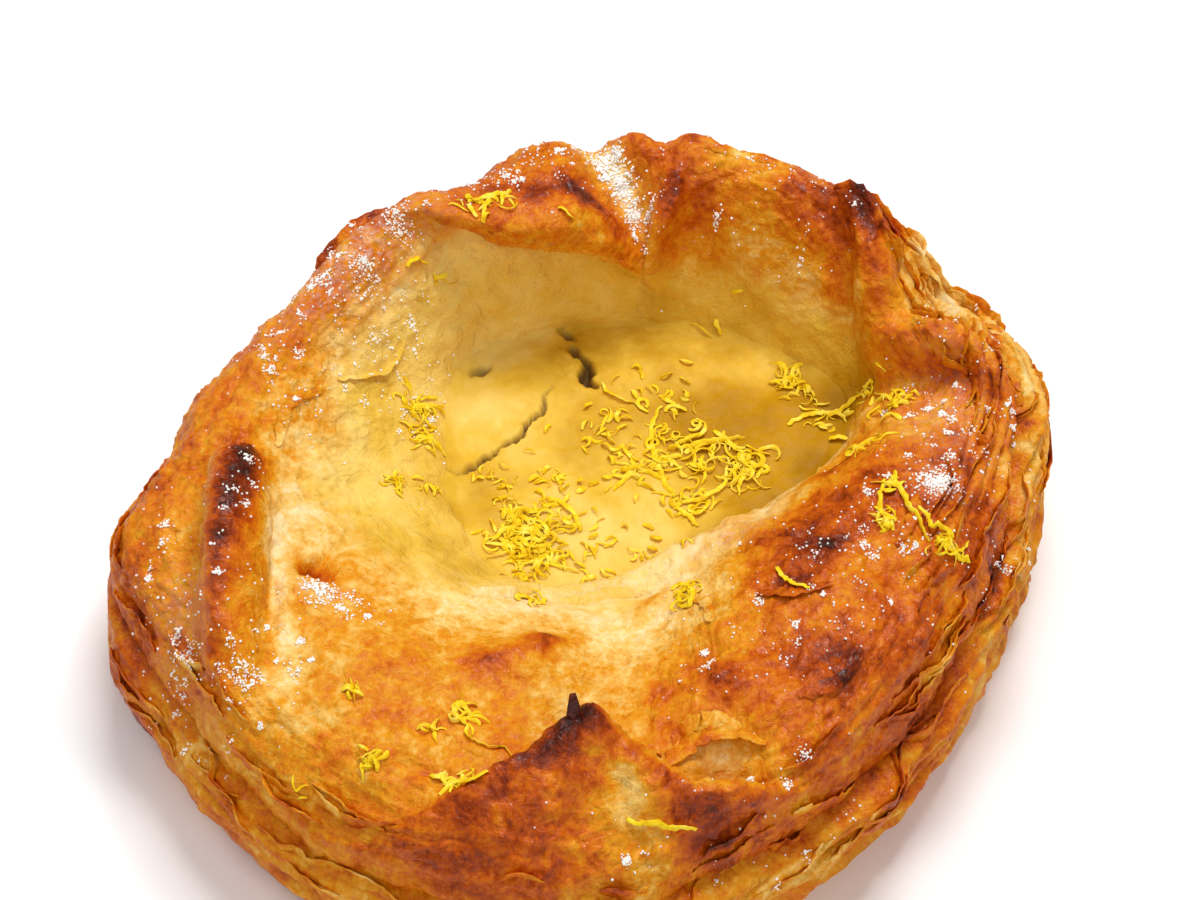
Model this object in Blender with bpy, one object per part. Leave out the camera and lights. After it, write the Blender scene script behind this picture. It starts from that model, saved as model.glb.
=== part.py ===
"""A round lemon danish: laminated dough folded over at four corners, with a pool of baked custard in its middle.

The dough is one solid. Rings of points run from its flat foot over the rim to the floor of the basin, and each ring
takes its radius and height from the angle that it stands at. The folds of the sheet are then pulled up out of that
skin along curved lines: each is steep on the side where the sheet ends and gentle on the side where it goes on.
The custard is a second solid that lies in the basin. +Z is up, and the pastry rests on its flat base at z = 0.
Lengths are in millimetres until the meshes are finished, and angles are in degrees, anticlockwise from +X.
"""

import bmesh
import bpy
import numpy as np
from mathutils import Matrix

MM = 0.001

# Sizes round the rim. A station is an angle, the radius of the belly, the radius and height of the crest, the radius of
# the pool about its own centre, and how long the inner slope stays high: 1 is a straight ramp, 3 is a full dome.
STATIONS = (
    (-175.0, 52.7, 38.8, 25.5, 21.5, 1.4),
    (-155.0, 49.4, 37.6, 24.5, 22.5, 1.9),
    (-130.0, 49.2, 36.5, 24.5, 24.0, 2.2),
    (-105.0, 50.0, 38.0, 23.5, 21.5, 2.2),
    (-85.0, 50.5, 38.5, 22.0, 18.5, 2.0),
    (-62.0, 45.8, 36.6, 25.0, 15.5, 2.6),
    (-35.0, 44.2, 35.2, 27.0, 17.0, 3.4),
    (-10.0, 46.6, 37.0, 27.0, 21.5, 3.2),
    (8.0, 51.2, 40.4, 26.0, 24.5, 1.9),
    (25.0, 58.0, 46.0, 25.0, 24.5, 1.3),
    (40.0, 56.4, 46.8, 27.2, 22.0, 1.4),
    (58.0, 55.4, 46.8, 31.2, 20.5, 1.5),
    (75.0, 52.8, 46.2, 31.8, 19.5, 1.5),
    (95.0, 51.6, 45.6, 31.6, 19.5, 1.4),
    (118.0, 48.0, 42.0, 31.2, 21.0, 1.5),
    (142.0, 46.6, 38.6, 28.0, 22.0, 1.7),
    (158.0, 48.4, 38.8, 27.2, 21.8, 1.6),
    (172.0, 49.6, 38.6, 26.4, 21.5, 1.5),
)
POOL_CENTRE = (6.0, 17.0)
POOL_HEIGHT = 13.0
BASIN_FLOOR = 6.5
CUSTARD_GAP = 0.4

# Outer wall: the height of its widest line, and how square its shoulder is (1 is an ellipse, less is squarer)
BELLY_HEIGHT = 7.5
SHOULDER = 0.85

# Folds of the sheet. A station is x, y, then the pull in x, y and z, then the reach to the left and to the right.
FOLDS = {
    "far_left_lip": (
        (-26.0, 35.6, 0.0, 0.0, 0.0, 4.0, 4.0),
        (-19.5, 39.4, 0.4, -2.2, 1.2, 3.4, 1.8),
        (-14.5, 41.0, 0.4, -6.0, 1.4, 3.2, 1.3),
        (-9.5, 42.0, 0.4, -9.2, 1.0, 3.2, 1.2),
        (-4.5, 42.8, 0.4, -10.2, 1.0, 3.2, 1.2),
        (0.8, 42.4, 1.2, -8.4, 1.4, 3.0, 1.2),
        (5.0, 41.0, 1.6, -5.0, 1.8, 2.0, 1.2),
    ),
    "far_valley": (
        (7.0, 38.0, 0.0, 0.0, -1.0, 1.2, 1.2),
        (6.0, 41.5, 0.0, 0.0, -4.2, 2.4, 1.3),
        (3.8, 45.0, 0.0, 0.0, -3.4, 2.6, 1.6),
        (1.2, 48.2, 0.0, 0.0, -1.6, 2.2, 1.8),
        (0.0, 51.0, 0.0, 0.0, 0.0, 2.2, 1.8),
    ),
    "far_crown": (
        (-12.0, 45.6, 0.0, 0.0, 0.0, 3.0, 3.0),
        (-4.6, 47.6, 0.0, 0.0, 1.6, 3.0, 3.0),
        (-1.4, 48.2, 0.0, 0.0, 0.7, 2.4, 2.4),
        (1.4, 48.6, 0.0, 0.0, -0.2, 2.0, 2.0),
        (5.4, 48.6, 0.0, 0.4, 1.0, 2.4, 2.4),
        (9.2, 48.2, 0.0, 0.0, -0.4, 2.2, 2.2),
        (12.6, 47.6, 0.0, 0.0, 0.8, 3.0, 3.0),
        (18.0, 46.6, 0.0, 0.0, 0.0, 3.0, 3.0),
    ),
    "far_right_lip": (
        (8.6, 40.5, -1.2, -4.0, 0.9, 1.0, 1.5),
        (9.6, 41.8, -0.4, -3.4, 1.2, 1.0, 1.6),
        (10.6, 43.5, 0.0, -1.6, 1.2, 1.0, 2.4),
        (12.3, 46.0, 0.0, 0.0, 1.0, 1.4, 4.0),
        (13.5, 50.0, 0.0, 0.0, 0.4, 2.0, 4.0),
    ),
    "right_upper_ridge": (
        (30.0, 43.5, 0.0, 0.0, 0.4, 3.0, 4.0),
        (30.9, 39.0, -0.6, 0.0, 2.6, 3.8, 1.4),
        (32.2, 34.0, -1.2, -0.2, 4.2, 3.8, 0.9),
        (33.2, 29.5, -1.4, -0.6, 4.8, 3.2, 0.8),
        (33.8, 25.8, -1.2, -0.8, 3.6, 2.4, 0.9),
    ),
    "right_lower_lip": (
        (34.6, 23.0, -0.4, -0.6, 2.4, 1.8, 1.6),
        (38.8, 22.8, -0.2, -1.4, 3.8, 2.6, 1.4),
        (43.5, 20.8, 0.0, -1.6, 3.4, 3.0, 1.6),
        (47.6, 16.5, 0.0, -1.0, 2.0, 3.2, 2.5),
        (50.5, 11.0, 0.0, 0.0, 0.8, 3.0, 3.0),
    ),
    "right_gusset": (
        (37.8, 31.0, 0.0, 0.0, -1.8, 1.6, 1.6),
        (41.0, 30.6, 0.0, 0.0, -2.8, 2.6, 2.6),
        (46.0, 31.0, 0.0, 0.0, -2.8, 3.0, 3.0),
        (51.0, 32.5, 0.0, 0.0, -1.5, 3.0, 3.0),
    ),
    "near_left_edge": (
        (-28.0, -43.0, -0.5, -1.0, 0.5, 3.0, 5.0),
        (-18.0, -42.6, -0.3, -0.6, 1.6, 1.8, 6.0),
        (-7.5, -38.6, 0.0, 0.8, 4.2, 1.3, 7.0),
        (0.0, -34.2, 0.0, 1.2, 7.2, 1.2, 4.0),
    ),
    "near_right_edge": (
        (3.2, -34.8, 0.0, 0.6, 4.4, 1.3, 4.0),
        (7.6, -37.4, 0.0, 1.0, 4.4, 1.3, 6.0),
        (11.8, -40.4, 0.0, 0.5, 2.0, 1.5, 6.0),
        (15.0, -41.6, 0.0, 0.2, 0.8, 2.0, 5.0),
    ),
    "near_right_roll": (
        (9.5, -40.8, 0.0, 0.4, 0.6, 1.5, 5.0),
        (16.0, -40.4, 0.0, 1.4, 3.6, 1.4, 5.0),
        (23.0, -38.8, 0.0, 0.8, 2.4, 1.8, 5.0),
        (31.0, -34.5, 0.0, 0.0, 0.3, 4.0, 5.0),
    ),
    "near_hollow": (
        (10.0, -36.4, 0.0, 0.0, -1.0, 2.6, 2.6),
        (15.0, -35.8, 0.0, 0.0, -4.4, 3.2, 3.2),
        (21.0, -34.8, 0.0, 0.0, -1.4, 3.0, 3.0),
    ),
    "left_ridge": (
        (-36.0, 4.5, 0.0, 0.0, 2.0, 1.4, 1.0),
        (-37.6, -3.0, -0.6, 0.0, 5.0, 2.6, 1.0),
        (-38.6, -12.0, -0.6, 0.0, 4.8, 3.0, 1.0),
        (-38.6, -21.0, -0.4, 0.0, 3.2, 3.4, 1.3),
        (-37.2, -33.0, 0.0, 0.0, 0.8, 4.0, 2.5),
    ),
    "left_groove": (
        (-33.0, 3.0, 0.0, 0.0, -0.5, 1.5, 1.5),
        (-33.6, -8.0, 0.0, 0.0, -1.4, 1.8, 1.8),
        (-33.0, -20.0, 0.0, 0.0, -1.2, 1.8, 1.8),
        (-32.0, -28.0, 0.0, 0.0, 0.0, 1.8, 1.8),
    ),
    "left_pleat": (
        (-30.2, -6.0, 0.0, 0.0, 0.0, 1.4, 1.4),
        (-30.4, -14.0, 0.0, 0.0, 1.4, 1.4, 1.4),
        (-29.8, -24.0, 0.0, 0.0, 0.0, 1.6, 1.6),
    ),
    "left_corner": (
        (-44.0, -3.0, 0.0, 0.0, 0.0, 3.0, 5.0),
        (-50.0, -3.5, -1.2, 0.0, 0.6, 3.5, 6.0),
    ),
}
FOLD_STEPS = 8
FOLD_SOFTNESS = 0.9
FOLDS_FADE_FROM, FOLDS_FADE_TO = 13.0, 18.0

# Grid of the dough: columns round it, and rows from each ring to the next. The grid is fine enough to follow the
# folds, and is then thinned where the skin is nearly flat.
COLUMNS = 360
ROWS = (1, 1, 2, 4, 6, 6, 8, 10, 16, 16, 12, 8, 3, 1, 1)
KEPT_SHARE = 0.125
CUSTARD_COLUMNS = 60


def at_angle(angle, column):
    """The size in one column of the stations, run smoothly round the rim."""
    turns = np.array([station[0] for station in STATIONS])
    sizes = np.array([station[column] for station in STATIONS])
    turns = np.concatenate([turns[-2:] - 360, turns, turns[:3] + 360])
    sizes = np.concatenate([sizes[-2:], sizes, sizes[:3]])
    slopes = np.gradient(sizes, turns)
    angle = (angle - turns[1]) % 360 + turns[1]
    k = np.searchsorted(turns, angle, side="right") - 1
    span = turns[k + 1] - turns[k]
    t = (angle - turns[k]) / span
    return (
        sizes[k] * (1 + 2 * t) * (1 - t) ** 2
        + sizes[k + 1] * t**2 * (3 - 2 * t)
        + span * (slopes[k] * t * (1 - t) ** 2 - slopes[k + 1] * t**2 * (1 - t))
    )


def loop(angle, radius, height, centre=(0.0, 0.0)):
    """A closed ring of points about a centre."""
    turn = np.radians(angle)
    flat = np.ones_like(turn)
    return np.stack(
        [centre[0] + radius * np.cos(turn), centre[1] + radius * np.sin(turn), flat * height], axis=-1
    )


def dough_rings(angle):
    """The rings that the dough's skin runs through, from its flat foot over the rim to the floor of the basin."""
    belly, rim, height, pool, shape = (at_angle(angle, column) for column in range(1, 6))
    rings = [
        loop(angle, belly * 0.5, 0.0),
        loop(angle, belly - 5.5, 0.0),
        loop(angle, belly - 1.8, 1.8),
    ]
    for turn in (0, 24, 44, 60, 75, 90):
        out = np.cos(np.radians(turn)) ** SHOULDER if turn < 90 else 0.0
        up = np.sin(np.radians(turn)) ** SHOULDER
        rings.append(loop(angle, rim + (belly - rim) * out, BELLY_HEIGHT + (height - BELLY_HEIGHT) * up))
    crest = rings[-1]
    edge = loop(angle, pool, POOL_HEIGHT + 0.8, POOL_CENTRE)
    for share in (0.25, 0.5, 0.75):
        ring = crest + share * (edge - crest)
        ring[:, 2] = height - (height - POOL_HEIGHT - 0.8) * share**shape
        rings.append(ring)
    rings += [
        edge,
        loop(angle, pool - 1.5, POOL_HEIGHT - 3.0, POOL_CENTRE),
        loop(angle, pool - 4.0, BASIN_FLOOR + 0.6, POOL_CENTRE),
        loop(angle, pool * 0.5, BASIN_FLOOR, POOL_CENTRE),
    ]
    return np.array(rings)


def through(points, steps):
    """A smooth run through the given points or rings, with so many steps from each to the next."""
    padded = np.concatenate([points[:1], points, points[-1:]])
    made = []
    for k, count in enumerate(steps):
        a, b, c, d = padded[k : k + 4]
        for s in range(count):
            t = s / count
            made.append(
                0.5 * (2 * b + (c - a) * t + (2 * a - 5 * b + 4 * c - d) * t**2 + (3 * b - a - 3 * c + d) * t**3)
            )
    made.append(points[-1])
    return np.array(made)


def fold_pull(points, stations):
    """How far one fold pulls each point: in full on its line, and less to either side."""
    line = through(np.array(stations, float), [FOLD_STEPS] * (len(stations) - 1))
    nearest = np.full(len(points), np.inf)
    pull = np.zeros((len(points), 3))
    for start, end in zip(line, line[1:]):
        run = end[:2] - start[:2]
        away = points[:, :2] - start[:2]
        share = np.clip(away @ run / (run @ run), 0, 1)
        offset = away - share[:, None] * run
        distance = np.hypot(*offset.T)
        here = start + share[:, None] * (end - start)
        to_left = np.array([-run[1], run[0]]) / np.hypot(*run)
        side = offset @ to_left / np.maximum(distance, 1e-6)
        reach = here[:, 6] + (here[:, 5] - here[:, 6]) * (0.5 + 0.5 * side)
        soft = np.sqrt(distance**2 + FOLD_SOFTNESS**2) - FOLD_SOFTNESS
        fade = np.exp(-((soft / reach) ** 1.7))
        closer = distance < nearest
        nearest = np.where(closer, distance, nearest)
        pull[closer] = (here[:, 2:5] * fade[:, None])[closer]
    return pull


def folded(points):
    """The skin with every fold pulled up out of it. The folds fade out down the outer wall and under the custard."""
    pull = sum(fold_pull(points, stations) for stations in FOLDS.values())
    height = np.clip((points[:, 2] - FOLDS_FADE_FROM) / (FOLDS_FADE_TO - FOLDS_FADE_FROM), 0, 1)
    return points + pull * height[:, None]


def skin(name, rings, middle_low, middle_high):
    """A closed solid: rings of points bridged in order, and closed by a fan at the first ring and at the last."""
    shape = bmesh.new()
    columns = rings.shape[1]
    rows = [[shape.verts.new(point) for point in ring] for ring in rings]
    for low, high in zip(rows, rows[1:]):
        for k in range(columns):
            after = (k + 1) % columns
            shape.faces.new((low[k], low[after], high[after], high[k]))
    for row, middle in ((rows[0], middle_low), (rows[-1], middle_high)):
        hub = shape.verts.new(middle)
        for k in range(columns):
            shape.faces.new((row[(k + 1) % columns], row[k], hub))
    bmesh.ops.recalc_face_normals(shape, faces=shape.faces)
    mesh = bpy.data.meshes.new(name)
    shape.to_mesh(mesh)
    shape.free()
    made = bpy.data.objects.new(name, mesh)
    bpy.context.collection.objects.link(made)
    return made


def custard_rings(angle):
    """The custard's rings: a shallow dish inside the basin, with a nearly level top."""
    pool = at_angle(angle, 4)
    gap = CUSTARD_GAP
    return np.array(
        [
            loop(angle, pool * 0.5, BASIN_FLOOR + 1.0, POOL_CENTRE),
            loop(angle, pool - 5.2, BASIN_FLOOR + 1.4, POOL_CENTRE),
            loop(angle, pool - 2.2 - gap, POOL_HEIGHT - 3.0, POOL_CENTRE),
            loop(angle, pool - 0.4 - gap, POOL_HEIGHT, POOL_CENTRE),
            loop(angle, pool - 2.0, POOL_HEIGHT + 0.2, POOL_CENTRE),
            loop(angle, pool * 0.5, POOL_HEIGHT, POOL_CENTRE),
        ]
    )


def coat(made, name, colour, roughness):
    """Gives the object its material."""
    material = bpy.data.materials.new(name)
    material.use_nodes = True
    shader = material.node_tree.nodes["Principled BSDF"]
    shader.inputs["Base Color"].default_value = (*colour, 1)
    shader.inputs["Roughness"].default_value = roughness
    made.data.materials.append(material)


def main():
    for old in list(bpy.data.objects):
        bpy.data.objects.remove(old)

    angle = np.arange(COLUMNS) * 360.0 / COLUMNS
    rings = through(dough_rings(angle), ROWS)
    rings = folded(rings.reshape(-1, 3)).reshape(rings.shape)
    dough = skin("dough", rings, (0, 0, 0), (*POOL_CENTRE, BASIN_FLOOR))
    custard = skin(
        "custard",
        custard_rings(np.arange(CUSTARD_COLUMNS) * 360.0 / CUSTARD_COLUMNS),
        (*POOL_CENTRE, BASIN_FLOOR + 1.0),
        (*POOL_CENTRE, POOL_HEIGHT),
    )
    thinning = dough.modifiers.new("thinning", "DECIMATE")
    thinning.ratio = KEPT_SHARE
    coat(dough, "baked_dough", (0.60, 0.24, 0.05), 0.45)
    coat(custard, "custard", (0.80, 0.52, 0.10), 0.35)

    # The origin goes to the middle of the outline, on the surface that the pastry rests on
    middle = (rings.reshape(-1, 3).min(axis=0) + rings.reshape(-1, 3).max(axis=0)) / 2
    place = Matrix.Scale(MM, 4) @ Matrix.Translation((-middle[0], -middle[1], 0))
    for made in (dough, custard):
        made.data.transform(place)
        made.data.shade_smooth()


main()
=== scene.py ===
"""A round lemon danish on a pale table: folded, browned dough round a pool of baked custard, with grated lemon peel
and icing sugar scattered over it.

The pastry's own sizes are worked out in millimetres, from the middle that the dough was shaped about, and turned into
the frame's metres when a piece is finished. Angles are in degrees, anticlockwise from +X.
"""

from math import cos, pi, radians, sin

import bmesh
import bpy
import numpy as np
from mathutils import Matrix, Vector
from mathutils.kdtree import KDTree


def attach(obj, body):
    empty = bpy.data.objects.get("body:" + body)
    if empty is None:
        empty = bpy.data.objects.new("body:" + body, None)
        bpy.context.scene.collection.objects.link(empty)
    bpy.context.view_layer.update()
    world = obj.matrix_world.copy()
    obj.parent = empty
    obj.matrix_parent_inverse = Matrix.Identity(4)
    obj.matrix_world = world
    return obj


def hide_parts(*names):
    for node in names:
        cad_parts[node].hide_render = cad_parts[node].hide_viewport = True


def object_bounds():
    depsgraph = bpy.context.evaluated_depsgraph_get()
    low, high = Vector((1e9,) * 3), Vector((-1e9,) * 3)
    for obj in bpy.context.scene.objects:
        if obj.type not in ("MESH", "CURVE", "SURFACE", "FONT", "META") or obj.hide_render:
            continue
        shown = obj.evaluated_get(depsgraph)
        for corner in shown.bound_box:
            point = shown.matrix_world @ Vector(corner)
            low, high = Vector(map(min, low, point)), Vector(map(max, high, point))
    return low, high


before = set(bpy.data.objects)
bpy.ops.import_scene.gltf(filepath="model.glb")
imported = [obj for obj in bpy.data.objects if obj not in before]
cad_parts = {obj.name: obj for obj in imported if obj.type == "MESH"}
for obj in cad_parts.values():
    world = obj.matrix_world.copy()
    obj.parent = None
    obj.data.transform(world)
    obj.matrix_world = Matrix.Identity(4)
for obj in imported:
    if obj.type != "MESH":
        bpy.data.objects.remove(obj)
cad_box = [list(corner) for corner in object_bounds()]

# ---- Camera: a long lens that looks down on the pastry from the near side, close enough to crop its near edge.
VIEW_HEIGHT = 50
LOOKED_AT = Vector((0.00178, 0.01555, 0.0136))
towards_camera = Vector((0, -cos(radians(VIEW_HEIGHT)), sin(radians(VIEW_HEIGHT))))
lens = bpy.data.cameras.new("camera")
lens.lens = 150
lens.sensor_width = 36
lens.clip_start = 0.01
camera = bpy.data.objects.new("camera", lens)
camera.location = LOOKED_AT + towards_camera * 0.564
camera.rotation_euler = (-towards_camera).to_track_quat("-Z", "Y").to_euler()
bpy.context.collection.objects.link(camera)
bpy.context.scene.camera = camera
bpy.context.scene.view_settings.view_transform = "Standard"


# ---- Table and light: a plain white table top, a big soft lamp high at the back right, and an even white room.
def make_node(tree, kind, inputs=None, **settings):
    """Adds a shader node. An input is either a value or the output that feeds it."""
    made = tree.nodes.new(kind)
    for name, value in settings.items():
        setattr(made, name, value)
    for name, value in (inputs or {}).items():
        if isinstance(value, bpy.types.NodeSocket):
            tree.links.new(value, made.inputs[name])
        else:
            made.inputs[name].default_value = value
    return made


def paint(red, green, blue):
    """A colour as a painter reads it, from 0 to 255, as the light values that a shader works with."""
    shares = np.array([red, green, blue]) / 255
    light = np.where(shares <= 0.04045, shares / 12.92, ((shares + 0.055) / 1.055) ** 2.4)
    return (*light.tolist(), 1.0)


def finish_object(name, mesh):
    """Links a finished mesh into the scene, smooth all over."""
    mesh.shade_smooth()
    made = bpy.data.objects.new(name, mesh)
    bpy.context.collection.objects.link(made)
    return made


TABLE_SIZE = 6.0
top = bmesh.new()
bmesh.ops.create_grid(top, x_segments=1, y_segments=1, size=TABLE_SIZE / 2)
table_mesh = bpy.data.meshes.new("table")
top.to_mesh(table_mesh)
top.free()
table = finish_object("table", table_mesh)
white_top = bpy.data.materials.new("white_top")
white_top.use_nodes = True
white_shader = white_top.node_tree.nodes["Principled BSDF"]
white_shader.inputs["Base Color"].default_value = paint(250, 250, 250)
white_shader.inputs["Roughness"].default_value = 0.7
table.data.materials.append(white_top)

LAMPS = {
    # name: place, size and power in watts; all of them point at the pastry
    "key": ((0.14, 0.36, 0.95), 0.5, 6.8),
    "front_fill": ((0.25, -0.85, 0.75), 0.7, 3.2),
    "left_fill": ((-0.60, 0.25, 0.75), 0.4, 1.5),
    "window_glint": ((0.30, 0.30, 0.92), 0.07, 0.7),
}
for name, (place, size, power) in LAMPS.items():
    lamp = bpy.data.lights.new(name, "AREA")
    lamp.shape = "DISK"
    lamp.size = size
    lamp.energy = power
    lamp_object = bpy.data.objects.new(name, lamp)
    lamp_object.location = place
    lamp_object.rotation_euler = (LOOKED_AT - Vector(place)).to_track_quat("-Z", "Y").to_euler()
    bpy.context.collection.objects.link(lamp_object)
room = bpy.data.worlds.new("room")
room.use_nodes = True
seen_in_gloss = make_node(room.node_tree, "ShaderNodeLightPath").outputs["Is Glossy Ray"]
dimmer = make_node(room.node_tree, "ShaderNodeMapRange", {"Value": seen_in_gloss, "To Min": 0.36, "To Max": 0.08})
room.node_tree.links.new(dimmer.outputs["Result"], room.node_tree.nodes["Background"].inputs["Strength"])
room.node_tree.nodes["Background"].inputs["Color"].default_value = (1.0, 1.0, 1.0, 1.0)
bpy.context.scene.world = room


# ---- Dough: one sheet of laminated dough, puffed in the oven, its four corners folded over towards the pool.
# Rings of points run from its flat foot over the rim down to the basin, and the folds are pulled up out of that skin
# along curved lines. A station is an angle, the radius of the belly, the radius and height of the crest, the radius
# of the pool about its own centre, and how long the inner slope stays high.
STATIONS = (
    (-175.0, 52.7, 38.8, 25.5, 21.5, 1.4),
    (-155.0, 49.4, 37.6, 24.5, 22.5, 1.9),
    (-130.0, 49.2, 36.5, 24.5, 24.0, 2.2),
    (-105.0, 50.0, 38.0, 23.5, 21.5, 2.2),
    (-85.0, 50.5, 38.5, 22.0, 18.5, 2.0),
    (-62.0, 45.8, 36.6, 25.0, 15.5, 2.6),
    (-35.0, 44.2, 35.2, 27.0, 17.0, 3.4),
    (-10.0, 46.6, 37.0, 27.0, 21.5, 3.2),
    (8.0, 51.2, 40.4, 26.0, 24.5, 1.9),
    (25.0, 58.0, 46.0, 25.0, 24.5, 1.3),
    (40.0, 56.4, 46.8, 27.2, 22.0, 1.4),
    (58.0, 55.4, 46.8, 31.2, 20.5, 1.5),
    (75.0, 52.8, 46.2, 31.8, 19.5, 1.5),
    (95.0, 51.6, 45.6, 31.6, 19.5, 1.4),
    (118.0, 48.0, 42.0, 31.2, 21.0, 1.5),
    (142.0, 46.6, 38.6, 28.0, 22.0, 1.7),
    (158.0, 48.4, 38.8, 27.2, 21.8, 1.6),
    (172.0, 49.6, 38.6, 26.4, 21.5, 1.5),
)
POOL_CENTRE = (6.0, 17.0)
POOL_HEIGHT = 13.0
BASIN_FLOOR = 6.5
BELLY_HEIGHT = 7.5
SHOULDER = 0.85

# A fold's station is x, y, then the pull in x, y and z, then the reach to the left and to the right.
FOLDS = {
    "far_left_lip": (
        (-26.0, 35.6, 0.0, 0.0, 0.0, 4.0, 4.0),
        (-19.5, 39.4, 0.4, -2.2, 1.2, 3.4, 1.8),
        (-14.5, 41.0, 0.4, -6.0, 1.4, 3.2, 1.3),
        (-9.5, 42.0, 0.4, -9.2, 1.0, 3.2, 1.2),
        (-4.5, 42.8, 0.4, -10.2, 1.0, 3.2, 1.2),
        (0.8, 42.4, 1.2, -8.4, 1.4, 3.0, 1.2),
        (5.0, 41.0, 1.6, -5.0, 1.8, 2.0, 1.2),
    ),
    "far_valley": (
        (7.0, 38.0, 0.0, 0.0, -1.0, 1.2, 1.2),
        (6.0, 41.5, 0.0, 0.0, -4.2, 2.4, 1.3),
        (3.8, 45.0, 0.0, 0.0, -3.4, 2.6, 1.6),
        (1.2, 48.2, 0.0, 0.0, -1.6, 2.2, 1.8),
        (0.0, 51.0, 0.0, 0.0, 0.0, 2.2, 1.8),
    ),
    "far_crown": (
        (-12.0, 45.6, 0.0, 0.0, 0.0, 3.0, 3.0),
        (-4.6, 47.6, 0.0, 0.0, 1.6, 3.0, 3.0),
        (-1.4, 48.2, 0.0, 0.0, 0.7, 2.4, 2.4),
        (1.4, 48.6, 0.0, 0.0, -0.2, 2.0, 2.0),
        (5.4, 48.6, 0.0, 0.4, 1.0, 2.4, 2.4),
        (9.2, 48.2, 0.0, 0.0, -0.4, 2.2, 2.2),
        (12.6, 47.6, 0.0, 0.0, 0.8, 3.0, 3.0),
        (18.0, 46.6, 0.0, 0.0, 0.0, 3.0, 3.0),
    ),
    "far_right_lip": (
        (8.6, 40.5, -1.2, -4.0, 0.9, 1.0, 1.5),
        (9.6, 41.8, -0.4, -3.4, 1.2, 1.0, 1.6),
        (10.6, 43.5, 0.0, -1.6, 1.2, 1.0, 2.4),
        (12.3, 46.0, 0.0, 0.0, 1.0, 1.4, 4.0),
        (13.5, 50.0, 0.0, 0.0, 0.4, 2.0, 4.0),
    ),
    "right_upper_ridge": (
        (30.0, 43.5, 0.0, 0.0, 0.4, 3.0, 4.0),
        (30.9, 39.0, -0.6, 0.0, 2.6, 3.8, 1.4),
        (32.2, 34.0, -1.2, -0.2, 4.2, 3.8, 0.9),
        (33.2, 29.5, -1.4, -0.6, 4.8, 3.2, 0.8),
        (33.8, 25.8, -1.2, -0.8, 3.6, 2.4, 0.9),
    ),
    "right_lower_lip": (
        (34.6, 23.0, -0.4, -0.6, 2.4, 1.8, 1.6),
        (38.8, 22.8, -0.2, -1.4, 3.8, 2.6, 1.4),
        (43.5, 20.8, 0.0, -1.6, 3.4, 3.0, 1.6),
        (47.6, 16.5, 0.0, -1.0, 2.0, 3.2, 2.5),
        (50.5, 11.0, 0.0, 0.0, 0.8, 3.0, 3.0),
    ),
    "right_gusset": (
        (37.8, 31.0, 0.0, 0.0, -1.8, 1.6, 1.6),
        (41.0, 30.6, 0.0, 0.0, -2.8, 2.6, 2.6),
        (46.0, 31.0, 0.0, 0.0, -2.8, 3.0, 3.0),
        (51.0, 32.5, 0.0, 0.0, -1.5, 3.0, 3.0),
    ),
    "near_left_edge": (
        (-28.0, -43.0, -0.5, -1.0, 0.5, 3.0, 5.0),
        (-18.0, -42.6, -0.3, -0.6, 1.6, 1.8, 6.0),
        (-7.5, -38.6, 0.0, 0.8, 4.2, 1.3, 7.0),
        (0.0, -34.2, 0.0, 1.2, 7.2, 1.2, 4.0),
    ),
    "near_right_edge": (
        (3.2, -34.8, 0.0, 0.6, 4.4, 1.3, 4.0),
        (7.6, -37.4, 0.0, 1.0, 4.4, 1.3, 6.0),
        (11.8, -40.4, 0.0, 0.5, 2.0, 1.5, 6.0),
        (15.0, -41.6, 0.0, 0.2, 0.8, 2.0, 5.0),
    ),
    "near_right_roll": (
        (9.5, -40.8, 0.0, 0.4, 0.6, 1.5, 5.0),
        (16.0, -40.4, 0.0, 1.4, 3.6, 1.4, 5.0),
        (23.0, -38.8, 0.0, 0.8, 2.4, 1.8, 5.0),
        (31.0, -34.5, 0.0, 0.0, 0.3, 4.0, 5.0),
    ),
    "near_hollow": (
        (10.0, -36.4, 0.0, 0.0, -1.0, 2.6, 2.6),
        (15.0, -35.8, 0.0, 0.0, -4.4, 3.2, 3.2),
        (21.0, -34.8, 0.0, 0.0, -1.4, 3.0, 3.0),
    ),
    "left_ridge": (
        (-36.0, 4.5, 0.0, 0.0, 2.0, 1.4, 1.0),
        (-37.6, -3.0, -0.6, 0.0, 5.0, 2.6, 1.0),
        (-38.6, -12.0, -0.6, 0.0, 4.8, 3.0, 1.0),
        (-38.6, -21.0, -0.4, 0.0, 3.2, 3.4, 1.3),
        (-37.2, -33.0, 0.0, 0.0, 0.8, 4.0, 2.5),
    ),
    "left_groove": (
        (-33.0, 3.0, 0.0, 0.0, -0.5, 1.5, 1.5),
        (-33.6, -8.0, 0.0, 0.0, -1.4, 1.8, 1.8),
        (-33.0, -20.0, 0.0, 0.0, -1.2, 1.8, 1.8),
        (-32.0, -28.0, 0.0, 0.0, 0.0, 1.8, 1.8),
    ),
    "left_pleat": (
        (-30.2, -6.0, 0.0, 0.0, 0.0, 1.4, 1.4),
        (-30.4, -14.0, 0.0, 0.0, 1.4, 1.4, 1.4),
        (-29.8, -24.0, 0.0, 0.0, 0.0, 1.6, 1.6),
    ),
    "left_corner": (
        (-44.0, -3.0, 0.0, 0.0, 0.0, 3.0, 5.0),
        (-50.0, -3.5, -1.2, 0.0, 0.6, 3.5, 6.0),
    ),
}
FOLD_STEPS = 8
FOLD_SOFTNESS = 0.9
FOLDS_FADE_FROM, FOLDS_FADE_TO = 13.0, 18.0

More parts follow.
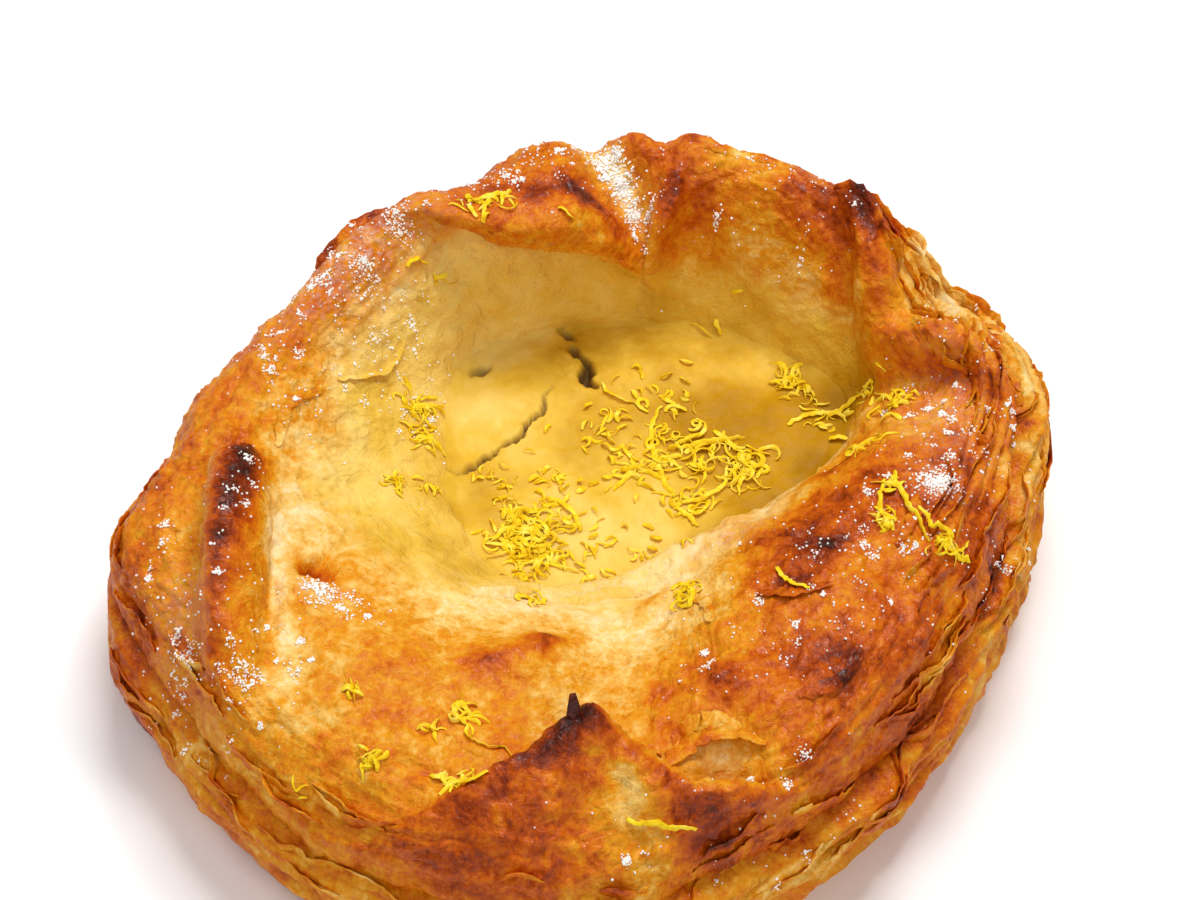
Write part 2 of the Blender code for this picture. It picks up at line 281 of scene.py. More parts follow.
# The skin's grid: columns round it, closer together at the folds, and rows from each ring to the next.
COLUMNS = 640
CLOSER_COLUMNS = ((80, 0.9, 18), (25, 0.7, 16), (-85, 0.8, 22), (180, 0.6, 18))
ROW_STEPS = (1, 2, 12, 21, 16, 12, 11, 12, 16, 16, 15, 12, 3, 1, 1)


def at_angle(angle, table, column):
    """The size in one column of a table of stations, run smoothly round the rim."""
    turns = np.array([station[0] for station in table])
    sizes = np.array([station[column] for station in table])
    turns = np.concatenate([turns[-2:] - 360, turns, turns[:3] + 360])
    sizes = np.concatenate([sizes[-2:], sizes, sizes[:3]])
    slopes = np.gradient(sizes, turns)
    angle = (angle - turns[1]) % 360 + turns[1]
    k = np.searchsorted(turns, angle, side="right") - 1
    span = turns[k + 1] - turns[k]
    t = (angle - turns[k]) / span
    return (
        sizes[k] * (1 + 2 * t) * (1 - t) ** 2
        + sizes[k + 1] * t**2 * (3 - 2 * t)
        + span * (slopes[k] * t * (1 - t) ** 2 - slopes[k + 1] * t**2 * (1 - t))
    )


def loop(angle, radius, height, centre=(0.0, 0.0)):
    """A closed ring of points about a centre."""
    turn = np.radians(angle)
    flat = np.ones_like(turn)
    return np.stack(
        [centre[0] + radius * np.cos(turn), centre[1] + radius * np.sin(turn), flat * height], axis=-1
    )


def dough_rings(angle):
    """The rings that the dough's skin runs through, from its flat foot over the rim to the floor of the basin."""
    belly, rim, height, pool, shape = (at_angle(angle, STATIONS, column) for column in range(1, 6))
    rings = [
        loop(angle, belly * 0.5, 0.0),
        loop(angle, belly - 5.5, 0.0),
        loop(angle, belly - 1.8, 1.8),
    ]
    for turn in (0, 24, 44, 60, 75, 90):
        out = np.cos(np.radians(turn)) ** SHOULDER if turn < 90 else 0.0
        up = np.sin(np.radians(turn)) ** SHOULDER
        rings.append(loop(angle, rim + (belly - rim) * out, BELLY_HEIGHT + (height - BELLY_HEIGHT) * up))
    crest = rings[-1]
    edge = loop(angle, pool, POOL_HEIGHT + 0.8, POOL_CENTRE)
    for share in (0.25, 0.5, 0.75):
        ring = crest + share * (edge - crest)
        ring[:, 2] = height - (height - POOL_HEIGHT - 0.8) * share**shape
        rings.append(ring)
    rings += [
        edge,
        loop(angle, pool - 1.5, POOL_HEIGHT - 3.0, POOL_CENTRE),
        loop(angle, pool - 4.0, BASIN_FLOOR + 0.6, POOL_CENTRE),
        loop(angle, pool * 0.5, BASIN_FLOOR, POOL_CENTRE),
    ]
    return np.array(rings)


def through(points, steps):
    """A smooth run through the given points or rings, with so many steps from each to the next."""
    padded = np.concatenate([points[:1], points, points[-1:]])
    made = []
    for k, count in enumerate(steps):
        a, b, c, d = padded[k : k + 4]
        for s in range(count):
            t = s / count
            made.append(
                0.5 * (2 * b + (c - a) * t + (2 * a - 5 * b + 4 * c - d) * t**2 + (3 * b - a - 3 * c + d) * t**3)
            )
    made.append(points[-1])
    return np.array(made)


def along_line(points, stations, softness=FOLD_SOFTNESS, power=1.7):
    """For each point, the stations' values on the line's nearest place, times how near the point is to it."""
    line = through(np.array(stations, float), [FOLD_STEPS] * (len(stations) - 1))
    nearest = np.full(len(points), np.inf)
    pull = np.zeros((len(points), line.shape[1] - 4))
    for start, end in zip(line, line[1:]):
        run = end[:2] - start[:2]
        away = points[:, :2] - start[:2]
        share = np.clip(away @ run / (run @ run), 0, 1)
        offset = away - share[:, None] * run
        distance = np.hypot(*offset.T)
        here = start + share[:, None] * (end - start)
        to_left = np.array([-run[1], run[0]]) / np.hypot(*run)
        side = offset @ to_left / np.maximum(distance, 1e-6)
        reach = here[:, -1] + (here[:, -2] - here[:, -1]) * (0.5 + 0.5 * side)
        soft = np.sqrt(distance**2 + softness**2) - softness
        fade = np.exp(-((soft / reach) ** power))
        closer = distance < nearest
        nearest = np.where(closer, distance, nearest)
        pull[closer] = (here[:, 2:-2] * fade[:, None])[closer]
    return pull


def folded(points):
    """The skin with every fold pulled up out of it. The folds fade out down the outer wall and under the custard."""
    pull = sum(along_line(points, stations) for stations in FOLDS.values())
    height = np.clip((points[:, 2] - FOLDS_FADE_FROM) / (FOLDS_FADE_TO - FOLDS_FADE_FROM), 0, 1)
    return points + pull * height[:, None]


def ripple(points, size, seed):
    """Smooth random bumps of about the given size in millimetres, from -1 to 1."""
    lattice = np.random.default_rng(seed).uniform(-1, 1, (32, 32, 32))
    turned = points @ np.array([[0.8, 0.6, 0.0], [-0.48, 0.64, 0.6], [0.36, -0.48, 0.8]]) / size + 100.37
    low = np.floor(turned).astype(int)
    t = turned - low
    t = t * t * t * (t * (t * 6 - 15) + 10)
    total = np.zeros(len(points))
    for corner in np.ndindex(2, 2, 2):
        weight = np.prod(np.where(corner, t, 1 - t), axis=-1)
        total += weight * lattice[tuple(((low + corner) % 32).T)]
    return total


def crumpled(points, size, seed, octaves=4, gain=0.5):
    """Bumps of the given size with finer ones on top."""
    return sum(gain**k * ripple(points, size / 2**k, seed + k) for k in range(octaves))


def patch(points, x, y, across, along=None, turn=0.0):
    """1 at x, y and less away from it: a soft oval, across by along millimetres in radius, turned by so many degrees."""
    away = points[:, :2] - (x, y)
    c, s = cos(radians(turn)), sin(radians(turn))
    one = (away[:, 0] * c + away[:, 1] * s) / across
    other = (-away[:, 0] * s + away[:, 1] * c) / (along or across)
    return np.exp(-(one**2 + other**2))


def step_up(value, low, high):
    """0 below low, 1 above high, and a smooth step between."""
    t = np.clip((value - low) / (high - low), 0, 1)
    return t * t * (3 - 2 * t)


def between(angle, start, end, soft):
    """1 from the start angle to the end angle, anticlockwise, with soft ends."""
    half = ((end - start) % 360) / 2
    away = np.abs((angle - start - half + 180) % 360 - 180)
    return 1 - step_up(away, half - soft, half + soft)


def outward(grid):
    """The unit normals of a grid of points that is closed round its columns."""
    round_it = np.roll(grid, -1, axis=1) - np.roll(grid, 1, axis=1)
    up_it = np.gradient(grid, axis=0)
    normal = np.cross(round_it, up_it)
    return (normal / np.maximum(np.linalg.norm(normal, axis=-1, keepdims=True), 1e-9)).reshape(-1, 3)


def within(points, low, high, soft=2.0):
    """The points pressed softly back between two corners, so that no bump grows the part."""
    for axis in range(3):
        over = points[:, axis] - (high[axis] - soft)
        points[:, axis] -= np.where(over > 0, over - soft * np.tanh(over / soft), 0)
        if axis < 2:
            under = low[axis] + soft - points[:, axis]
            points[:, axis] += np.where(under > 0, under - soft * np.tanh(under / soft), 0)
    return points


even = np.linspace(0, 360, 3601)
density = np.ones_like(even)
for turn, extra, spread in CLOSER_COLUMNS:
    density += extra * np.exp(-((((even - turn + 180) % 360 - 180) / spread) ** 2))
passed = np.concatenate([[0], np.cumsum((density[1:] + density[:-1]) / 2)])
angle = np.interp(np.arange(COLUMNS) / COLUMNS * passed[-1], passed, even)

rings = through(dough_rings(angle), ROW_STEPS)
rows_of_rings = np.cumsum((0,) + ROW_STEPS)
FOOT, BELLY, CREST, POOL_EDGE = rows_of_rings[1], rows_of_rings[3], rows_of_rings[8], rows_of_rings[12]
skin = folded(rings.reshape(-1, 3)).reshape(rings.shape)
plain_low, plain_high = skin.reshape(-1, 3).min(axis=0), skin.reshape(-1, 3).max(axis=0)
MIDDLE = np.array([*(plain_low + plain_high)[:2] / 2, 0])
BOX_LOW, BOX_HIGH = (np.array(corner) * 1000 + MIDDLE for corner in cad_box)
BOX_LOW[:2] += 0.1
BOX_HIGH -= 0.1

# Where each point stands on the skin: 0 at the belly, 1 at the crest and 2 at the pool's edge; the angle it stands
# at; and how far up the wall it is from the belly, in millimetres
row = np.arange(len(skin))[:, None] * np.ones((1, COLUMNS))
place = np.interp(row, (0, FOOT, BELLY, CREST, POOL_EDGE, len(skin) - 1), (-1, -0.5, 0, 1, 2, 3)).ravel()
turned = np.tile(angle, len(skin))
climbed = np.concatenate([np.zeros((1, COLUMNS)), np.cumsum(np.linalg.norm(np.diff(rings, axis=0), axis=-1), axis=0)])
climbed = (climbed - climbed[BELLY]).ravel()
round_it = np.stack([50 * np.cos(np.radians(turned)), 50 * np.sin(np.radians(turned))], axis=-1)

# The seam: the top sheet ends part of the way down the outer wall, in a lip that overhangs the sheets below. A
# station is an angle and how far above the belly the lip is.
SEAM = (
    (-170, 7.5), (-140, 6.0), (-112, 6.5), (-86, 8.0), (-58, 6.0), (-32, 7.0), (-12, 9.5), (8, 12.5), (24, 15.5),
    (40, 13.5), (62, 9.5), (92, 8.0), (130, 8.0), (162, 8.0),
)
points = skin.reshape(-1, 3)
above_seam = climbed - at_angle(turned, SEAM, 1) + 0.8 * ripple(round_it @ np.eye(2, 3), 9, 15)
lip = 0.5 + 0.5 * np.tanh(above_seam / 0.35)
band = np.clip(-above_seam / 4.6, 0, 1)
at_lip = -lip * 1.3 * np.exp(-np.abs(above_seam) / 3.2) + (1 - lip) * 1.0 * (1 - np.abs(2 * band - 1) ** 2.4)
at_lip = at_lip - 1.0 * np.exp(-((above_seam / 0.5) ** 2))
seam_depth = 0.35 + 0.65 * between(turned, -80, 40, 14) + 0.3 * between(turned, 165, 235, 14)

# The layers: sheet lies on sheet down the wall, each a rounded ledge that stands out by its own amount
LAYER_PITCH = 1.75
wander = 0.8 * ripple(points * (1, 1, 0.3), 26, 11) + 0.35 * ripple(points * (1, 1, 0.3), 9, 12)
layer = climbed / LAYER_PITCH + wander
share_of_layer = layer % 1
bulge = 1 - np.abs(2 * share_of_layer - 1) ** 2.6
sheet = np.floor(layer)
proud = ripple(np.concatenate([round_it, sheet[:, None] * 37.0], axis=-1), 8, 14)
layered = 0.45 + 0.75 * between(turned, -70, 46, 12) + 0.45 * between(turned, 150, 250, 14)
layered *= step_up(climbed, -4.0, -1.0) * (1 - 0.85 * step_up(above_seam, -0.4, 0.4) * (1 - between(turned, 2, 46, 7)))
layered *= 1 - step_up(place, 0.80, 1.0)
push = seam_depth * at_lip + layered * (bulge * (0.75 + 0.75 * proud) - 0.5) * 1.1

# Creases, pits and blisters of the top. A line's station is x, y, the push along the normal, then the reach to
# each side; a blister is x, y, its radius across and along, its turn and its height.
CREASES = {
    "dome_crease": ((15.0, -2.6, 0.0, 0.4, 0.8), (20.0, -4.6, -0.7, 0.5, 0.9), (26.0, -7.4, -0.5, 0.5, 0.8), (32.0, -8.6, 0.0, 0.4, 0.6)),
    "dome_crease_lip": ((15.0, -3.8, 0.0, 0.8, 1.6), (20.0, -6.0, 0.5, 0.8, 1.8), (26.0, -8.8, 0.3, 0.7, 1.4), (32.0, -9.6, 0.0, 0.5, 1.0)),
    "pit": ((-30.4, -7.6, -1.2, 0.8, 1.0), (-29.2, -8.4, -3.8, 1.3, 1.3), (-27.8, -9.2, -1.8, 1.0, 1.0)),
    "pale_slit": ((-24.5, -1.0, 0.0, 0.4, 0.4), (-26.0, -4.5, -0.45, 0.5, 0.5), (-28.0, -7.0, -0.2, 0.4, 0.4)),
    "west_pleat": ((-30.5, -8.0, 0.0, 0.8, 0.8), (-30.3, -14.0, -0.7, 0.9, 0.9), (-29.6, -21.0, -0.5, 0.9, 0.9), (-29.0, -26.0, 0.0, 0.7, 0.7)),
    "south_crease": ((4.0, -36.5, 0.0, 0.6, 0.6), (4.6, -41.0, -0.6, 0.7, 0.9), (7.0, -45.0, -0.7, 0.8, 0.9), (9.5, -48.0, 0.0, 0.7, 0.7)),
    "south_crease_two": ((12.0, -42.0, 0.0, 0.5, 0.5), (16.0, -44.0, -0.5, 0.6, 0.6), (22.0, -45.0, -0.5, 0.6, 0.6), (28.0, -43.0, 0.0, 0.5, 0.5)),
    "raw_strip": ((-6.0, -6.5, 0.0, 0.8, 2.2), (0.0, -2.6, 0.8, 0.8, 2.6), (8.0, -0.8, 1.0, 0.8, 2.6), (15.0, 1.0, 0.8, 0.8, 2.2), (20.0, 6.0, 0.2, 0.8, 1.5)),
}
# Rolled edges: where a sheet ends in a fold it swells to a roll with crisp sides
ROLLS = {
    "west_roll": ((-36.4, 5.0, 0.6, 0.8, 0.8), (-37.0, 1.0, 1.6, 2.0, 1.8), (-37.2, -6.0, 1.9, 2.8, 2.2), (-37.4, -14.0, 1.7, 3.0, 2.2), (-37.6, -22.0, 1.0, 3.0, 2.2), (-37.0, -29.0, 0.2, 2.6, 2.0)),
    "far_left_roll": ((-21.0, 38.0, 0.2, 1.8, 1.6), (-14.2, 36.6, 0.8, 2.6, 1.6), (-9.2, 34.8, 1.0, 3.0, 1.6), (-4.0, 34.6, 1.0, 3.0, 1.6), (2.0, 35.4, 0.6, 2.0, 1.4)),
    "east_roll": ((30.4, 41.5, 0.2, 2.4, 1.6), (31.2, 37.5, 0.8, 3.4, 1.2), (31.8, 32.5, 1.1, 3.6, 1.0), (32.4, 28.0, 1.1, 3.2, 1.0), (33.0, 24.6, 0.5, 2.4, 1.0)),
    "east_lip_roll": ((34.5, 22.0, 0.5, 1.4, 1.2), (38.4, 21.4, 1.0, 1.8, 1.4), (43.5, 19.2, 0.8, 1.8, 1.4), (48.0, 15.5, 0.2, 1.8, 1.4)),
    "south_roll": ((12.0, -40.0, 0.3, 1.4, 2.0), (17.0, -39.4, 1.0, 1.6, 3.0), (24.0, -38.2, 0.8, 1.8, 3.0), (30.0, -35.0, 0.1, 1.8, 2.4)),
}
BLISTERS = (
    (-7.5, -20.2, 5.2, 3.0, 24, 1.8),
    (-3.8, -17.0, 2.6, 1.5, 15, 1.0),
    (7.3, -8.4, 2.4, 1.8, 20, 0.6),
    (15.0, -24.0, 3.0, 2.4, 0, 0.6),
    (28.0, 3.6, 1.8, 1.1, -20, 0.4),
    (-21.0, -22.0, 8.0, 5.0, 30, 0.8),
    (26.0, -14.0, 7.0, 5.0, -30, 0.7),
    (33.0, -2.0, 5.0, 6.0, 0, 0.5),
    (36.0, 12.0, 4.0, 7.0, 0, 0.5),
    (-26.0, 30.0, 6.0, 4.0, 45, 0.5),
    (22.0, 42.0, 7.0, 4.0, -15, 0.7),
)
on_top = step_up(place, 0.35, 0.7) * (1 - step_up(place, 2.0, 2.1))
for stations in CREASES.values():
    push = push + along_line(points, stations, 0.3, 2.0)[:, 0] * on_top
for stations in ROLLS.values():
    push = push + along_line(points, stations, 0.2, 4.0)[:, 0] * on_top
for x, y, across, along, turn, rise in BLISTERS:
    push = push + rise * patch(points, x, y, across, along, turn) * on_top

# Puffing and puckers of the baked skin: broad swells, knuckle-sized bumps, wrinkles that run round the rim, and the
# steps where the thin top leaves have peeled
above_foot = step_up(place, -0.5, -0.1) * (1 - step_up(place, 1.95, 2.1))
calm = 1 - 0.6 * patch(points, -20, -20, 15, 13) - 0.6 * patch(points, 32.4, 31, 4, 9) - 0.7 * patch(points, 12, 40, 22, 6) * step_up(place, 1.1, 1.3)
swell = 0.5 * crumpled(points, 16, 21, 2)
pucker = 0.50 * crumpled(points, 5.0, 31, 4, 0.58)
run = np.concatenate([round_it * 0.16, climbed[:, None] * 1.0], axis=-1)
wrinkle = 0.26 * crumpled(run, 1.5, 41, 2) * (1 - 0.6 * step_up(place, 1.2, 1.6))
peeled = crumpled(points, 9, 45, 4, 0.55) * 3.2
leaf = 0.42 * (np.floor(peeled) + step_up(peeled % 1, 0.78, 1.0) - peeled) * step_up(place, 0.0, 0.4) * (1 - step_up(place, 1.5, 1.9))
push = push + (swell + (pucker + wrinkle + leaf) * calm) * above_foot
skin = (points + outward(skin) * push[:, None]).reshape(skin.shape)
skin[row <= FOOT, 2] = 0.0
skin = within(skin.reshape(-1, 3), BOX_LOW, BOX_HIGH).reshape(skin.shape)

# How brown each point is: 0 raw, 0.35 golden, 0.6 orange brown, 0.8 dark and 1 burnt. A station is an angle, then
# the values at the foot, belly, brow, crest, and a quarter, half, three quarters and all of the way down to the pool.
BROWNING = (
    (-170, 0.50, 0.56, 0.44, 0.42, 0.22, 0.14, 0.10, 0.04),
    (-145, 0.46, 0.44, 0.40, 0.40, 0.44, 0.40, 0.26, 0.05),
    (-120, 0.46, 0.42, 0.36, 0.38, 0.46, 0.42, 0.26, 0.05),
    (-95, 0.48, 0.44, 0.44, 0.50, 0.32, 0.22, 0.15, 0.05),
    (-70, 0.46, 0.44, 0.44, 0.50, 0.38, 0.24, 0.14, 0.03),
    (-45, 0.50, 0.52, 0.58, 0.60, 0.60, 0.58, 0.50, 0.08),
    (-15, 0.48, 0.50, 0.58, 0.60, 0.60, 0.58, 0.54, 0.16),
    (10, 0.44, 0.46, 0.50, 0.54, 0.46, 0.44, 0.38, 0.18),
    (28, 0.44, 0.44, 0.36, 0.36, 0.42, 0.40, 0.32, 0.16),
    (45, 0.44, 0.46, 0.52, 0.56, 0.50, 0.36, 0.26, 0.14),
    (62, 0.44, 0.48, 0.54, 0.56, 0.54, 0.42, 0.28, 0.14),
    (85, 0.44, 0.48, 0.50, 0.50, 0.46, 0.36, 0.18, 0.12),
    (110, 0.44, 0.48, 0.50, 0.50, 0.46, 0.30, 0.13, 0.10),
    (140, 0.44, 0.48, 0.52, 0.54, 0.44, 0.18, 0.10, 0.05),
    (165, 0.48, 0.50, 0.46, 0.46, 0.26, 0.12, 0.08, 0.04),
)
AT_PLACES = (-0.5, 0.0, 0.7, 1.0, 1.25, 1.5, 1.75, 2.0)
points = skin.reshape(-1, 3)
browns = np.array([at_angle(angle, BROWNING, column) for column in range(1, 9)])
uneven = place + 0.09 * crumpled(points, 7, 61, 3) * step_up(place, 0.6, 1.0)
stood = np.interp(uneven, AT_PLACES, np.arange(8))
low_place = np.minimum(stood.astype(int), 6)
column_of = np.tile(np.arange(COLUMNS), len(skin))
brown = browns[low_place, column_of] * (1 - stood + low_place) + browns[low_place + 1, column_of] * (stood - low_place)

# Scorched edges, as lines of x, y, how much browner, then the reach to the left and to the right
SCORCHED_EDGES = {
    "west_ridge": ((-36.2, 4.5, 0.50, 1.4, 1.5), (-36.8, 0.0, 0.62, 2.2, 1.8), (-37.8, -6.0, 0.58, 2.2, 1.6), (-38.6, -12.0, 0.46, 2.2, 1.5), (-39.0, -17.0, 0.24, 2.2, 1.6), (-38.6, -28.0, 0.10, 2.4, 1.6)),
    # a paler strip down the groove and pleat west of the pool: partly the dough's own paler colour, partly painted
    # highlight along the pleat
    "west_pale_and_highlight": ((-33.4, 0.0, -0.10, 1.0, 0.8), (-32.9, -8.0, -0.26, 1.2, 0.9), (-32.2, -15.0, -0.26, 1.2, 0.9), (-30.8, -21.0, -0.24, 1.3, 1.0), (-30.2, -30.0, -0.16, 1.4, 1.0)),
    "south_left_wing": ((-30.0, -42.5, 0.02, 0.5, 5.0), (-18.0, -41.8, 0.14, 0.5, 6.0), (-8.5, -37.6, 0.32, 0.6, 8.0), (-1.6, -33.4, 0.32, 0.7, 5.0)),
    "south_right_wing": ((0.5, -33.6, 0.16, 0.8, 1.2), (6.5, -36.8, 0.26, 1.2, 1.6), (10.5, -39.8, 0.32, 1.2, 2.0), (13.0, -41.0, 0.12, 1.0, 2.0)),
    "south_roll": ((11.5, -41.0, 0.18, 1.2, 3.0), (16.0, -40.4, 0.26, 1.2, 3.4), (23.0, -39.0, 0.18, 1.6, 3.4), (31.0, -35.5, 0.06, 2.0, 3.0)),
    "far_lip_top": ((-16.0, 39.0, 0.04, 2.0, 2.4), (-7.0, 38.0, 0.12, 2.4, 2.0), (-1.0, 39.0, 0.18, 2.4, 2.0), (3.5, 37.4, 0.14, 1.6, 1.4)),
    "far_right_wing": ((8.6, 35.5, 0.15, 0.8, 1.2), (10.0, 40.0, 0.22, 1.0, 1.6), (11.5, 44.0, 0.12, 1.0, 3.0)),
    "east_band": ((30.6, 42.0, 0.06, 3.0, 2.0), (31.6, 37.0, 0.20, 3.6, 1.2), (32.2, 31.0, 0.24, 3.6, 1.0), (32.8, 25.0, 0.20, 3.0, 1.0)),
    "east_lip": ((33.0, 22.4, 0.14, 1.2, 2.0), (38.0, 21.0, 0.24, 1.0, 2.0), (43.0, 19.0, 0.18, 1.2, 1.8), (48.0, 14.5, 0.08, 1.5, 1.8)),
    "pool_rim": ((20.5, 3.5, -0.10, 0.8, 0.8), (26.0, 12.0, -0.06, 0.8, 0.8), (30.0, 19.0, 0.0, 0.8, 0.8)),
}
for stations in SCORCHED_EDGES.values():
    brown = brown + along_line(points, stations, 0.2, 2.0)[:, 0] * step_up(place, 0.2, 0.5)

# Scorched and pale places: x, y, radius across and along, turn, and how much browner or paler
SCORCHED = (
    (-36.6, 3.0, 1.2, 3.0, 0, 0.20),
    (-0.6, -33.2, 0.9, 0.9, 0, 0.34),
    (5.0, 33.5, 2.0, 2.4, 0, 0.16),
    (-0.4, 39.6, 1.6, 1.0, 0, 0.30),
    # the deep pit on the west side, painted darker
    (-29.2, -8.4, 1.5, 1.1, -20, 0.50),
    (-10.2, -21.6, 3.0, 2.2, 22, 0.30),
    (-5.0, -18.4, 3.0, 1.3, 20, 0.26),
    (-3.6, -16.6, 2.0, 1.1, 12, 0.36),
    (-14.0, -12.5, 10.0, 4.5, 15, -0.16),
    (-15.5, -27.0, 5.0, 3.0, 0, -0.10),
    (7.3, -8.4, 2.2, 1.7, 20, 0.36),
    (15.0, -24.0, 2.6, 2.0, 0, 0.14),
    (29.0, -1.5, 4.0, 3.0, 0, 0.12),
    (45.0, -6.0, 0.6, 0.9, 0, 0.30),
    (41.0, -16.2, 0.5, 0.5, 0, 0.36),
    (4.2, 43.6, 1.5, 4.8, 29, -0.34),
    (40.0, 30.0, 4.4, 5.5, 10, -0.26),
    # painted shade in the crease along the west side of the east roll
    (28.4, 29.0, 1.6, 6.0, -4, 0.14),
    (-29.0, 14.0, 4.0, 5.0, 0, 0.16),
    (-19.0, -30.5, 5.0, 4.0, 0, 0.10),
    (28.0, 3.6, 1.8, 1.0, -20, -0.22),
    (39.0, 1.0, 3.0, 2.4, 0, -0.10),
    (26.0, -17.0, 4.0, 3.0, 20, -0.12),
    (33.0, -10.0, 3.0, 2.4, 40, -0.10),
    (5.0, -38.5, 4.2, 5.5, 10, -0.24),
    (16.0, -33.5, 4.4, 2.6, 5, -0.24),
    (10.0, -26.0, 7.0, 6.0, 0, 0.10),
    (13.0, 41.0, 5.0, 3.0, -20, 0.10),
    # the upper part of the same pale strip: partly paler dough, partly painted highlight
    (-31.0, -10.0, 2.2, 9.0, 0, -0.10),
    (-38.5, 9.0, 4.0, 4.0, 0, 0.05),
    (-48.5, -14.0, 2.5, 9.0, -12, 0.12),
)
for x, y, across, along, turn, amount in SCORCHED:
    brown = brown + amount * patch(points, x, y, across, along, turn)
mottle = crumpled(points, 9, 51, 5, 0.62)
brown = brown + mottle * (0.03 + 0.20 * np.clip(brown, 0, 0.65))
# painted shade: a touch browner wherever the skin is pushed in, in creases, grooves and hollows
brown = brown + step_up(-push, 0.1, 1.0) * 0.05 * step_up(place, 0, 0.1)
# Painted shade at the gaps between the wall's layers, browner at the foot of each layer just above the gap; paler over
# each layer's upper part, the cream colour of the sheet edges
groove = layered * (0.16 * (1 - bulge) ** 2 - 0.22 * step_up(share_of_layer, 0.55, 0.8) * (0.5 + 0.5 * ripple(points, 6, 55)))
brown = brown + np.clip(groove, -0.3, 0.3) * step_up(climbed, -3, 0)
rim_side = between(turned, -78, 30, 12)
brown = brown + rim_side * (0.16 * lip * np.exp(-np.clip(above_seam, 0, 9) / 2.2) - 0.04 * (1 - lip))
brown = np.clip(brown, 0, 1)

# Custard that was brushed or boiled up the slope, and icing sugar that melted into a thin film
WASH = (
    # how far down the inner slope the custard colour starts, by angle
    (-170, 1.40), (-140, 1.62), (-112, 1.75), (-85, 1.80), (-60, 1.95), (-30, 2.0), (0, 1.9), (25, 1.60), (48, 1.62),
    (72, 1.72), (88, 1.45), (100, 1.30), (130, 1.40), (155, 1.48),
)


def custard_tone_shade_and_light_at(points):
    """How dark the custard colour is: pale where it ran up on the left, deep golden at the right and far side where it
    stood deep. The darker right and the patch under the far fold are partly painted shade from the walls and the fold;
    the far wall is painted lighter, as painted light where it stands in shade.
    """
    return (
        0.20 + 0.66 * step_up(points[:, 0] + 0.25 * points[:, 1], 9, 22) * (1 - 0.8 * step_up(points[:, 1], 23, 30))
        + 0.22 * crumpled(points, 8, 85, 4) - 0.30 * patch(points, 14, 9, 8, 4, 35) + 0.14 * patch(points, -4, 28, 8, 6)
        + 0.22 * patch(points, 4, 22, 9, 8) - 0.26 * patch(points, -13, 34, 7, 5)
        - 0.12 * patch(points, -8, 22, 7, 5, 30) + 0.12 * patch(points, -12, 10, 10, 9)
    )


start_of_wash = at_angle(turned, WASH, 1)
custard_wash = step_up(place - start_of_wash + 0.10 * crumpled(points, 6, 62, 4), -0.08, 0.24) * (1 - step_up(place, 2.6, 2.9))
unfolded = rings.reshape(-1, 3)
fold_x, fold_y = np.array(FOLDS["far_left_lip"])[:, :2].T
behind_fold = step_up(np.interp(unfolded[:, 0], fold_x, fold_y) - unfolded[:, 1], 0.4, 1.2)
on_fold = step_up(unfolded[:, 0], -24, -20) * (1 - step_up(unfolded[:, 0], 5, 7)) * step_up(unfolded[:, 1], 30, 33)
custard_wash = custard_wash * (1 - on_fold * (1 - behind_fold))
# the custard colour on the washed slope, with the same painted shade and painted light
wash_tone_shade_and_light = np.clip(custard_tone_shade_and_light_at(points), 0, 1)
RAW_STRIP = (
    (-8.0, -11.0, 0.3, 1.5, 1.5), (-3.0, -7.6, 1.0, 1.8, 2.2), (7.0, -2.4, 1.0, 1.8, 2.6), (18.0, 0.6, 0.9, 1.6, 2.2),
    (22.0, 5.0, 0.3, 1.2, 1.4),
)
sugar_film = np.clip(
    0.5 * patch(points, -26, 32, 10, 6, 45) + 0.8 * patch(points, 4.0, 44.0, 1.3, 4.6, 29)
    + 0.25 * patch(points, -43, -14, 3, 4) + 0.8 * patch(points, 38.9, 1.0, 1.6, 1.6)
    + 0.7 * patch(points, -27.5, -12.5, 2.0, 1.4) + 0.5 * along_line(points, RAW_STRIP, 0.3, 2.0)[:, 0] + 0.25 * patch(points, 40, 12, 5, 8), 0, 1
)


def piece_from_grid(name, grid, low_hub, high_hub, paints):
    """A closed mesh in the frame's metres from rings of points in millimetres, with a value per point for each paint."""
    rows, columns = grid.shape[:2]
    closed = np.concatenate(
        [np.tile(low_hub, (1, columns, 1)), grid, np.tile(high_hub, (1, columns, 1))], axis=0
    )
    closed = np.concatenate([closed, closed[:, :1]], axis=1)
    sheet = bmesh.new()
    bmesh.ops.create_grid(sheet, x_segments=columns, y_segments=rows + 1, size=0.5)
    mesh = bpy.data.meshes.new(name)
    sheet.to_mesh(mesh)
    sheet.free()
    flat = np.empty(len(mesh.vertices) * 3)
    mesh.vertices.foreach_get("co", flat)
    at = np.rint((flat.reshape(-1, 3)[:, :2] + 0.5) * (columns, rows + 1)).astype(int)
    mesh.vertices.foreach_set("co", ((closed[at[:, 1], at[:, 0]] - MIDDLE) * 0.001).ravel())
    values = np.ones((rows + 2, columns + 1, 4))
    for channel, value in enumerate(paints):
        wide = np.asarray(value).reshape(rows, columns)
        wide = np.concatenate([wide[:1], wide, wide[-1:]], axis=0)
        values[:, :, channel] = np.concatenate([wide, wide[:, :1]], axis=1)
    layer_of_paint = mesh.color_attributes.new("bake", "FLOAT_COLOR", "POINT")
    layer_of_paint.data.foreach_set("color", values[at[:, 1], at[:, 0]].ravel())
    sheet = bmesh.new()
    sheet.from_mesh(mesh)
    bmesh.ops.remove_doubles(sheet, verts=sheet.verts, dist=1e-7)
    bmesh.ops.recalc_face_normals(sheet, faces=sheet.faces)
    sheet.to_mesh(mesh)
    sheet.free()
    return mesh


